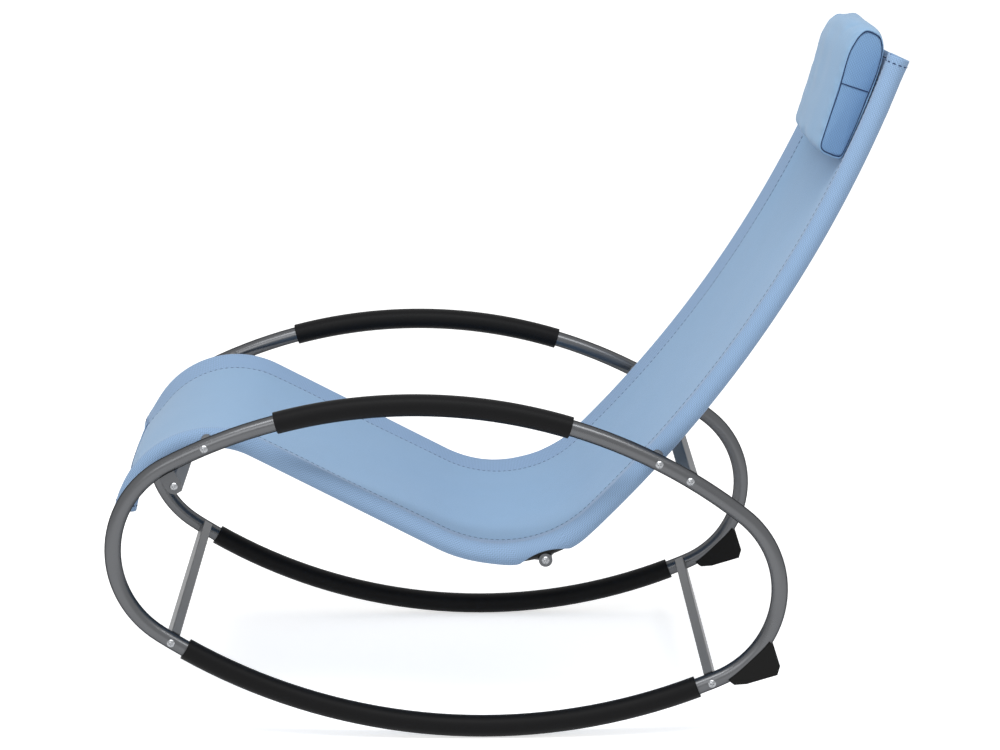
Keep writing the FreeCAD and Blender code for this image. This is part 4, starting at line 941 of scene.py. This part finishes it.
    def under_hem(self, run: np.ndarray, side: Side) -> tuple[np.ndarray, np.ndarray]:
        """Inner half of a hem: from its lowest line round the underside to the seam and under the sheet.

        The columns are even steps of height, from the bottom or the cut-out's edge up to the seam's ply.

        Args:
            run: Arc lengths, as a column.
            side: Which rail.

        Returns:
            Outboard distance from the rail's plane and lift, rows by columns.
        """
        radius, low = self.radius(run), self.low_radius(run)
        leave = self.tangent(run, 1, side)
        leave_out, leave_lift = radius * np.cos(leave), low * np.sin(leave)
        seam_out = self.stitch_y - self.rail_y
        seam_lift = smooth_table(run, self.seam_lift) + self.stand(run, side.value) - 2.0 * self.thickness
        start = np.clip(self.cut_lift(run), -low, 0.0)
        share = np.linspace(0.0, 1.0, self.under_columns)[None, :] ** 1.6
        lift = start + (seam_lift - start) * share * 0.94
        bow = -radius * np.sqrt(np.maximum(1.0 - (lift / low) ** 2, 0.0))
        straight = leave_out + (lift - leave_lift) / (seam_lift - leave_lift) * (seam_out - leave_out)
        out = np.where(lift < leave_lift, bow, straight)
        ends = 1.0 - smoothstep(0.0, 0.03, np.minimum(run, self.line.length - run))
        return self.to_seam(run, out, lift, -self.thickness * 1.15 * (1.0 + ends), self.under_ply, side)

    def to_seam(
        self, run: np.ndarray, out: np.ndarray, lift: np.ndarray, level: object, reach: float, side: Side
    ) -> tuple[np.ndarray, np.ndarray]:
        """Carry a hem's cloth straight to the seam and turn it into the sheet with a quadratic curve.

        Args:
            run: Arc lengths, as a column.
            out: Outboard distances of the hem.
            lift: Heights of the hem.
            level: Height over the sheet where the curve ends.
            reach: How far inboard of the seam it ends.
            side: Which rail.

        Returns:
            The hem with the straight run's and the curve's columns added.
        """
        seam = self.stitch_y - self.rail_y
        knot_y = np.full_like(run, side.value * self.stitch_y)
        end_y = np.full_like(run, side.value * (self.stitch_y - reach))
        knot_lift = self.sheet_lift(run, knot_y) + level * 0.8
        end_lift = self.sheet_lift(run, end_y) + level
        begin_out, begin_lift = out[:, -1:], lift[:, -1:]
        span = seam - begin_out
        near = np.maximum(1.0 - 0.003 / np.maximum(np.abs(span), 0.004), 0.2)
        go = np.linspace(0.0, 1.0, 9)[None, 1:] * near
        flat_out, flat_lift = begin_out + span * go, begin_lift + (knot_lift - begin_lift) * go
        t = np.linspace(0.0, 1.0, 6)[None, 1:]
        a_out, a_lift = flat_out[:, -1:], flat_lift[:, -1:]
        curve_out = (1 - t) ** 2 * a_out + 2 * t * (1 - t) * seam + t**2 * (seam - reach)
        curve_lift = (1 - t) ** 2 * a_lift + 2 * t * (1 - t) * knot_lift + t**2 * end_lift
        return (
            np.concatenate([out, flat_out, curve_out], axis=1),
            np.concatenate([lift, flat_lift, curve_lift], axis=1),
        )

    def draw_in(self, run: np.ndarray, y: np.ndarray) -> np.ndarray:
        """Arc length after the free ends are drawn in between the hems."""
        share = np.clip(1.0 - (y / self.stitch_y) ** 2, 0.0, 1.0)
        foot = 1.0 - smoothstep(0.0, 0.12, run)
        head = smoothstep(self.line.length - 0.12, self.line.length, run)
        return run + self.end_draw * share * (foot - head)

    def patch(self, run: np.ndarray, y: np.ndarray, lift: np.ndarray, slot: int, flip: bool) -> Patch:
        """Turn a strip of the cross-section into a patch whose ends are folded back inside.

        Args:
            run: Arc lengths, as a column.
            y: Lateral places, rows by columns.
            lift: Heights, rows by columns.
            slot: Material slot.
            flip: Turns the faces over.

        Returns:
            The patch with its fold rows.
        """
        across = np.stack([np.gradient(y, axis=1), np.gradient(lift, axis=1)], axis=-1)
        across /= np.linalg.norm(across, axis=-1, keepdims=True)
        sign = -1.0 if flip else 1.0
        inward = np.stack([across[..., 1], -across[..., 0]], axis=-1) * sign
        length = self.line.length
        near = np.array([0.0006, self.end_fold * 0.5, self.end_fold])
        full_run = np.concatenate([near[::-1][:, None], run, length - near[:, None]])
        pull = 1.25 * self.thickness
        full_y, full_lift = (
            np.concatenate([was[:1] + off[:1]] * len(near) + [was] + [was[-1:] + off[-1:]] * len(near))
            for was, off in ((y, pull * inward[..., 0]), (lift, pull * inward[..., 1]))
        )
        runs = self.draw_in(np.broadcast_to(full_run, full_y.shape), full_y)
        points = self.line.place(runs, full_y, full_lift)
        step = np.linalg.norm(np.diff(np.stack([full_y, full_lift], -1), axis=1), axis=-1)
        middle = full_y.shape[0] // 8
        u = np.concatenate([[0.0], np.cumsum(step[middle])])
        v = np.concatenate([-near[::-1], run[:, 0], length + near])
        uv = np.stack(np.broadcast_arrays(u[None, :] + y[middle, :1], v[:, None]), axis=-1)
        return Patch(points, uv, slot, flip)

    def build(self, finishes: Finishes) -> bpy.types.Object:
        """Make the panel as one closed thin mesh.

        Args:
            finishes: The chair's finishes.

        Returns:
            The sling.
        """
        run = self.rows()[:, None]
        left_out, left_lift = self.half_hem(run, Side.LEFT)
        right_out, right_lift = self.half_hem(run, Side.RIGHT)
        inner = self.stitch_y - self.over_ply
        row = np.linspace(-inner, inner, self.sheet_columns)[None, :]
        flat_y = np.broadcast_to(row, (len(run), self.sheet_columns))
        flat_lift = self.sheet_lift(np.broadcast_to(run, flat_y.shape), flat_y)
        patches = [
            self.patch(run, -self.rail_y - left_out, left_lift, 1, False),
            self.patch(run, flat_y, flat_lift, 0, False),
            self.patch(run, self.rail_y + right_out, right_lift, 1, True),
        ]
        for side in Side:
            out, lift = self.under_hem(run, side)
            y = side.value * (self.rail_y + out)
            patches.append(self.patch(run, y, lift, 1, side is Side.LEFT))
        piece = mesh_object("sling_cloth_panel", patches, weld=CLOTH_WELD)
        solid = piece.modifiers.new("thickness", "SOLIDIFY")
        solid.thickness = self.thickness
        solid.offset = 0.0
        solid.use_even_offset = False
        finishes.dress(piece, "sling_cloth", "ribbed_cloth")
        apply_modifiers(piece)
        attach(piece, CHAIR)
        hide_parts("sling")
        return piece

    def stitches(self, finishes: Finishes) -> bpy.types.Object:
        """Make the sewing: short raised stitches along both rails and across both ends.

        Args:
            finishes: The chair's finishes.

        Returns:
            The stitches, as one piece.
        """
        length = self.line.length
        ends = (self.end_stitch, length - self.end_stitch)
        off = self.thickness * 0.5 + 0.0002
        runs = np.arange(0.014, length - 0.012, self.stitch_pitch)
        rows = []
        for side in Side:
            y = np.full_like(runs, side.value * (self.stitch_y - self.stitch_inset))
            rows.append((runs, y, np.zeros_like(runs)))
        across = np.arange(-self.stitch_y + 0.004, self.stitch_y - 0.003, self.stitch_pitch)
        for place in ends:
            rows.append((np.full_like(across, place), across, np.ones_like(across)))
        run, y, turned = (np.concatenate(column) for column in zip(*rows))
        lift = self.sheet_lift(run, y) + off
        tilt = turned * 0.0
        for side in Side:
            for place in ends:
                out, high = self.half_hem(np.array([[place]]), side)
                knots = side.value * (self.rail_y + out[0])
                steps = np.concatenate([[0.0], np.cumsum(np.hypot(np.diff(knots), np.diff(high[0])))])
                want = np.arange(0.004, steps[-1] - 0.006, self.stitch_pitch)
                way = np.arctan2(np.gradient(high[0], steps), np.gradient(knots, steps))
                way = way + (np.pi if side is Side.RIGHT else 0.0)
                way = np.interp(want, steps, np.unwrap(way))
                y = np.concatenate([y, np.interp(want, steps, knots) - off * np.sin(way)])
                lift = np.concatenate([lift, np.interp(want, steps, high[0]) + off * np.cos(way)])
                run = np.concatenate([run, np.full_like(want, place)])
                turned = np.concatenate([turned, np.ones_like(want)])
                tilt = np.concatenate([tilt, way])
        centre = self.line.place(self.draw_in(run, y), y, lift)
        slope = self.line.slope(run)
        zero = np.zeros_like(slope)
        along = np.stack([np.cos(slope), zero, np.sin(slope)], -1)
        raised = np.stack([-np.sin(slope), zero, np.cos(slope)], -1)
        lateral = np.stack([zero, zero + 1.0, zero], -1)
        side_way = lateral * np.cos(tilt)[:, None] + raised * np.sin(tilt)[:, None]
        up = raised * np.cos(tilt)[:, None] - lateral * np.sin(tilt)[:, None]
        long_axis = np.where(turned[:, None] > 0, side_way, along)
        wide_axis = np.where(turned[:, None] > 0, along, side_way)
        piece = thread_piece("sling_stitches", centre, (long_axis, wide_axis, up), self.stitch_size)
        finishes.dress(piece, "sewing_thread")
        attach(piece, CHAIR)
        return piece


def thread_piece(
    name: str,
    centre: np.ndarray,
    axes: tuple[np.ndarray, np.ndarray, np.ndarray],
    size: tuple[float, float, float],
) -> bpy.types.Object:
    """Make many small closed stitches, each an ellipsoid flattened along its up direction.

    Args:
        name: Name of the piece.
        centre: Middles of the stitches, n by 3.
        axes: Directions of the thread, across the thread and away from the cloth, each n by 3.
        size: Length, width and height of a stitch.

    Returns:
        The piece.
    """
    length, width, height = size
    rings, spokes = 5, 6
    polar = np.linspace(0.0, np.pi, rings)[:, None]
    round_angle = np.linspace(0.0, math.tau, spokes, endpoint=False)[None, :]
    along = np.cos(polar) * np.ones_like(round_angle) * length / 2
    wide = np.sin(polar) ** 0.7 * np.cos(round_angle) * width / 2
    high = np.sin(polar) ** 0.7 * np.sin(round_angle) * height / 2
    shape = np.stack([along, wide, high], -1)
    points = centre[:, None, None, :] + np.einsum("rsk,nkj->nrsj", shape, np.stack(axes, axis=1))
    index = np.arange(rings * spokes).reshape(rings, spokes)
    after = np.roll(index, -1, axis=1)
    quads = np.stack([index[:-1], after[:-1], after[1:], index[1:]], -1).reshape(-1, 4)
    count = len(centre)
    faces = (quads[None] + (np.arange(count) * rings * spokes)[:, None, None]).reshape(-1, 4)
    mesh = bpy.data.meshes.new(name)
    mesh.from_pydata(points.reshape(-1, 3), [], faces)
    mesh.polygons.foreach_set("use_smooth", np.ones(len(faces), bool))
    flat = points.reshape(-1, 3)[:, [1, 0]]
    layer = mesh.uv_layers.new(name="Flat")
    layer.data.foreach_set("uv", flat[faces.ravel()].astype(np.float32).ravel())
    piece = link_object(name, mesh)
    weld_mesh(piece, WELD)
    recalculate_normals(piece)
    return piece


# ---- the headrest pillow


PILLOW_OUTLINE = (
    (0.004, 0.0015), (0.040, 0.0012), (0.095, 0.0018), (0.140, 0.0038), (0.171, 0.0080), (0.187, 0.0150),
    (0.1937, 0.0230), (0.1958, 0.0360), (0.1938, 0.0440), (0.185, 0.0500), (0.172, 0.0535), (0.149, 0.0556),
    (0.105, 0.0513), (0.060, 0.0463), (0.020, 0.0412), (0.003, 0.0380), (-0.0030, 0.0310), (-0.0035, 0.0190),
    (-0.0020, 0.0070),
)


@dataclass
class Pillow:
    """Stuffed pillow: one smooth cloth wrapped over front, top and rear, and a ribbed panel in each side.

    Args:
        line: The rails' line.
        half_width: Side seam to the middle of the pillow.
        side_swell: How far a side panel bulges.
        crown: How far the front bulges in the middle.
        rear_shoulder: How much higher the rear of the top is than its outline.
        low_angle: Angle below level from the back bend's centre to the pillow's bottom edge.
        settle: Largest movement that the stuffing gives the cloth.
        right_drop: How much lower the front of the top sits on the right.
        around: Points round the outline; across is the number of columns.
        seam_radius: Radius of the corded seam, and thread_radius of the dark ones.
        frames: Frames of the cloth simulation; pressure is its stuffing.
    """

    line: SideLine
    half_width: float = 0.151
    side_swell: float = 0.004
    crown: float = 0.0100
    rear_shoulder: float = 0.0085
    low_angle: float = math.radians(25.0)
    settle: float = 0.0022
    right_drop: float = 0.0100
    around: int = 132
    across: int = 64
    seam_radius: float = 0.0011
    thread_radius: float = 0.0008
    frames: int = 20
    pressure: float = 4.0

    def outline(self) -> np.ndarray:
        """Side panel's outline: height over the bottom edge and depth in front of the rail's line, in metres."""
        return closed_spline(np.array(PILLOW_OUTLINE), self.around)

    def ring(self) -> np.ndarray:
        """The outline with its first point again at the end."""
        outline = self.outline()
        return np.vstack([outline, outline[:1]])

    def place(self, height: np.ndarray, depth: np.ndarray, y: np.ndarray) -> np.ndarray:
        """Points at a height along the back, a depth in front of the rail's line and a lateral place.

        The front of the top sits lower towards the right.
        """
        front = smoothstep(0.115, 0.190, height) * smoothstep(0.016, 0.040, depth)
        height = height - self.right_drop * smoothstep(-0.5, 1.0, y / self.half_width) * front
        radius = self.line.back_radius - depth
        angle = -self.low_angle + height / self.line.back_radius
        centre = self.line.back_centre
        return np.stack([centre[0] + radius * np.cos(angle), y, centre[1] + radius * np.sin(angle)], axis=-1)

    def fullness(self, share: np.ndarray, power: float) -> np.ndarray:
        """Swell across the width: a hump that falls to nothing at the side seams, flatter for a higher power."""
        return np.maximum(0.0, 1.0 - np.abs(share) ** power) ** 0.85

    def wrap(self) -> Patch:
        """Front, top, rear and bottom as one cloth, its outline swollen outwards in the middle."""
        ring = self.ring()
        share = np.sin(np.linspace(-np.pi / 2, np.pi / 2, self.across))
        height, depth = ring[:, 0][None, :], ring[:, 1][None, :]
        across = share[:, None]
        dome, shelf = self.fullness(across, 2.0), self.fullness(across, 6.0)
        front = smoothstep(0.014, 0.042, depth)
        top = smoothstep(0.140, 0.190, height)
        low = 1.0 - smoothstep(-0.004, 0.020, height)
        pucker = 0.0009 * smooth_ripple(height / 0.022, across * 2.0, 41) * np.exp(-(1 - np.abs(across)) * 9)
        sides = 0.0010 * smooth_ripple(height / 0.09, across * 1.6, 43) * dome
        deep = depth + dome * self.crown * front + (pucker + sides) * front
        shoulder = (self.rear_shoulder * (1.0 - front) + 0.0020 * front) * shelf
        high = height + top * shoulder - 0.0045 * low * shelf
        y = across * self.half_width * np.ones_like(height)
        run = np.concatenate([[0.0], np.cumsum(np.linalg.norm(np.diff(ring, axis=0), axis=1))])
        uv = np.stack(np.broadcast_arrays(y, run[None, :]), -1)
        return Patch(self.place(high, deep, y), uv, 0, False)

    def panel(self, side: Side) -> Patch:
        """Ribbed side panel: the outline shrunk to its middle in rings, swelling outwards."""
        ring = self.ring()
        middle = ring[:-1].mean(axis=0)
        share = np.linspace(1.0, 0.0, 14)[:, None]
        height = middle[0] + (ring[:, 0][None, :] - middle[0]) * share
        depth = middle[1] + (ring[:, 1][None, :] - middle[1]) * share
        swell = self.side_swell * (1.0 - share**2.2)
        pucker = 0.0006 * smooth_ripple(height / 0.02, depth / 0.02, 51) * share**3 * (1 - share**8)
        y = side.value * (self.half_width + swell + pucker)
        uv = np.stack(np.broadcast_arrays(depth, height), -1)
        return Patch(self.place(height, depth, y * np.ones_like(height)), uv, 1, side is Side.LEFT)

    def build(self, finishes: Finishes) -> bpy.types.Object:
        """Make the pillow as one closed mesh.

        Args:
            finishes: The chair's finishes.

        Returns:
            The pillow.
        """
        patches = [self.wrap(), self.panel(Side.LEFT), self.panel(Side.RIGHT)]
        piece = mesh_object("headrest_pillow", patches, weld=CLOTH_WELD)
        recalculate_normals(piece)
        finishes.dress(piece, "pillow_cloth", "side_panel_cloth")
        self.stuff(piece)
        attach(piece, HEADREST)
        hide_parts("pillow")
        return piece

    def stuff(self, piece: bpy.types.Object) -> None:
        """Let the cloth settle under the stuffing's pressure while the side panels and the rear stay in place.

        The cloth is cut a little larger than the shape it fills, so it puckers along the seams. The movement is
        eased to a limit: limit times the hyperbolic tangent of movement over limit.

        Args:
            piece: The closed pillow mesh.
        """
        rest = vertex_places(piece)
        middle = np.array([self.line.back_centre[0], 0.0, self.line.back_centre[1]])
        depth = self.line.back_radius - np.hypot(rest[:, 0] - middle[0], rest[:, 2] - middle[2])
        seam = np.abs(rest[:, 1]) > self.half_width - 1e-5
        held = piece.vertex_groups.new(name="seams")
        held.add([int(i) for i in np.flatnonzero(seam | (depth < 0.006))], 1.0, "REPLACE")
        cloth = piece.modifiers.new("stuffing", "CLOTH")
        cloth.settings.quality = 6
        cloth.settings.mass = 0.2
        cloth.settings.vertex_group_mass = held.name
        cloth.settings.shrink_min = -0.015
        cloth.settings.use_pressure = True
        cloth.settings.uniform_pressure_force = self.pressure
        cloth.settings.effector_weights.gravity = 0.0
        cloth.collision_settings.use_collision = False
        scene = bpy.context.scene
        for frame in range(1, self.frames + 1):
            scene.frame_set(frame)
        apply_modifiers(piece)
        scene.frame_set(1)
        moved = vertex_places(piece) - rest
        far = np.linalg.norm(moved, axis=1, keepdims=True)
        LOG.info("pillow settled: largest move %.4f m", float(far.max()))
        free = smoothstep(0.006, 0.022, depth)[:, None]
        eased = rest + moved * free * self.settle * np.tanh(far / self.settle) / np.maximum(far, 1e-9)
        piece.data.vertices.foreach_set("co", eased.astype(np.float32).ravel())
        piece.data.update()

    def seams(self, finishes: Finishes) -> bpy.types.Object:
        """Make the corded seams round both side panels and the cross seam on each.

        Args:
            finishes: The chair's finishes.

        Returns:
            The seams, as one piece.
        """
        ring = self.ring()
        turn = np.linspace(0.0, math.tau, 9)[None, :]
        patches = []
        for side in Side:
            path = self.place(ring[:, 0], ring[:, 1], np.full(len(ring), side.value * (self.half_width + 0.0002)))
            patches.append(self.cord(path, turn, self.seam_radius, True, 0))
            middle = ring[:-1].mean(axis=0)
            inset = ring + (middle - ring) / np.linalg.norm(middle - ring, axis=1, keepdims=True) * 0.0024
            path = self.place(inset[:, 0], inset[:, 1], np.full(len(ring), side.value * (self.half_width + 0.0011)))
            patches.append(self.cord(path, turn, self.thread_radius, True, 1))
            share = np.linspace(-0.97, 0.97, 15)
            depth = 0.0268 + 0.0247 * share
            height = 0.1065 - 0.0015 * share
            swell = self.side_swell * (1 - np.abs(share) ** 2.2) + 0.0007
            path = self.place(height, depth, side.value * (self.half_width + swell))
            patches.append(self.cord(path, turn, self.thread_radius, False, 1))
        piece = mesh_object("headrest_seams", patches)
        recalculate_normals(piece)
        finishes.dress(piece, "pillow_cloth", "sewing_thread")
        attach(piece, HEADREST)
        return piece

    def cord(self, path: np.ndarray, turn: np.ndarray, radius: float, closed: bool, slot: int) -> Patch:
        """Thin round cord along a path: a circle carried square to the path.

        Args:
            path: Points of the path, n by 3.
            turn: Angles round the cord, 1 by m.
            radius: Radius of the cord.
            closed: Whether the path is a ring.
            slot: Material slot.

        Returns:
            The patch, its open ends drawn to a point.
        """
        along = np.gradient(path, axis=0)
        if closed:
            along[0] = along[-1] = path[1] - path[-2]
        along /= np.linalg.norm(along, axis=1, keepdims=True)
        across = np.cross(along, np.array([0.0, 1.0, 0.0]))
        across /= np.linalg.norm(across, axis=1, keepdims=True)
        lateral = np.cross(along, across)
        size = np.full((len(path), 1), radius)
        if not closed:
            size[0] = size[-1] = radius * 0.01
        circle = across[:, None] * np.cos(turn)[..., None] + lateral[:, None] * np.sin(turn)[..., None]
        points = path[:, None] + circle * size[..., None]
        run = np.arange(len(path))[:, None] * 0.003
        uv = np.stack(np.broadcast_arrays(turn * radius, run), -1)
        return Patch(points, uv, slot)


# ---- studio


@dataclass(frozen=True)
class Studio:
    """Pale floor, soft light and the camera at the photograph's angle."""

    lens: float = 104.4
    camera_place: tuple[float, float, float] = (-0.0689, -4.4974, 1.5575)
    camera_pitch: float = math.radians(90.0 - 13.29)
    camera_yaw: float = math.radians(-0.883)
    floor_reach: float = 30.0

    def camera(self) -> None:
        """Make the camera."""
        data = bpy.data.cameras.new("photo_camera")
        data.lens = self.lens
        data.sensor_width = 36.0
        data.clip_end = 100.0
        camera = link_object("photo_camera", data)
        camera.location = self.camera_place
        camera.rotation_euler = Euler((self.camera_pitch, 0.0, self.camera_yaw), "XYZ")
        bpy.context.scene.camera = camera

    def floor(self) -> None:
        """Make the floor: it takes the shadow and looks white to the camera and in reflections."""
        size = self.floor_reach
        mesh = bpy.data.meshes.new("floor")
        mesh.from_pydata([(-size, -size, 0), (size, -size, 0), (size, size, 0), (-size, size, 0)], [], [(0, 1, 2, 3)])
        floor = link_object("floor", mesh)
        material = bpy.data.materials.new("pale_floor")
        material.use_nodes = True
        tree = material.node_tree
        shader = tree.nodes["Principled BSDF"]
        shader.inputs["Base Color"].default_value = (0.86, 0.86, 0.86, 1.0)
        shader.inputs["Roughness"].default_value = 0.9
        shader.inputs["Specular IOR Level"].default_value = 0.1
        glow = tree.nodes.new("ShaderNodeEmission")
        glow.inputs["Strength"].default_value = 0.62
        path = tree.nodes.new("ShaderNodeLightPath")
        seen = math_node(tree, "MAXIMUM", path.outputs["Is Camera Ray"], path.outputs["Is Glossy Ray"])
        none = tree.nodes.new("ShaderNodeEmission")
        none.inputs["Strength"].default_value = 0.0
        pick = tree.nodes.new("ShaderNodeMixShader")
        tree.links.new(seen, pick.inputs[0])
        tree.links.new(none.outputs[0], pick.inputs[1])
        tree.links.new(glow.outputs[0], pick.inputs[2])
        add = tree.nodes.new("ShaderNodeAddShader")
        tree.links.new(shader.outputs[0], add.inputs[0])
        tree.links.new(pick.outputs[0], add.inputs[1])
        tree.links.new(add.outputs[0], tree.nodes["Material Output"].inputs["Surface"])
        mesh.materials.append(material)

    def lamp(self, name: str, place: tuple[float, float, float], turn: tuple[float, float, float],
             size: tuple[float, float], power: float) -> None:
        """Make one rectangular lamp.

        Args:
            name: Name of the lamp.
            place: Its position.
            turn: Its rotation in degrees.
            size: Its width and height.
            power: Its power in watts.
        """
        data = bpy.data.lights.new(name, "AREA")
        data.shape = "RECTANGLE"
        data.size, data.size_y = size
        data.energy = power
        lamp = link_object(name, data)
        lamp.location = place
        lamp.rotation_euler = Euler([math.radians(a) for a in turn], "XYZ")

    def lights(self) -> None:
        """Make the soft studio light: a large top lamp, a front fill and an even pale world."""
        self.lamp("top_softbox", (0.0, -1.5, 3.0), (31, 0, 0), (3.6, 1.0), 58.0)
        self.lamp("front_fill", (-1.6, -4.2, 2.2), (64, 0, -20), (2.6, 1.8), 30.0)
        world = bpy.data.worlds.new("studio")
        world.use_nodes = True
        tree = world.node_tree
        back = tree.nodes["Background"]
        back.inputs["Color"].default_value = (1.0, 1.0, 1.0, 1.0)
        path = tree.nodes.new("ShaderNodeLightPath")
        seen = math_node(tree, "MAXIMUM", path.outputs["Is Camera Ray"], path.outputs["Is Transmission Ray"])
        seen = math_node(tree, "MAXIMUM", seen, path.outputs["Is Glossy Ray"])
        strength = math_node(tree, "ADD", math_node(tree, "MULTIPLY", seen, 0.42), 0.58)
        tree.links.new(strength, back.inputs["Strength"])
        bpy.context.scene.world = world

    def build(self) -> None:
        """Make the whole studio."""
        self.camera()
        self.floor()
        self.lights()
        bpy.context.scene.view_settings.view_transform = "Standard"


def main() -> None:
    """Build every piece in order and report it."""
    logging.basicConfig(level=logging.INFO, format="%(message)s")
    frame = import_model()
    Studio().build()
    finishes = Finishes()
    finishes.build()
    dress_frame(frame["nodes"], finishes)
    LOG.info("frame nodes dressed: %d", len(frame["nodes"]))
    line = SideLine()
    sling = Sling(line)
    panel = sling.build(finishes)
    stitches = sling.stitches(finishes)
    pillow = Pillow(line)
    cushion = pillow.build(finishes)
    seams = pillow.seams(finishes)
    for piece in (panel, stitches, cushion, seams):
        LOG.info("%s: %d faces", piece.name, len(piece.data.polygons))


if __name__ == "__main__":
    main()
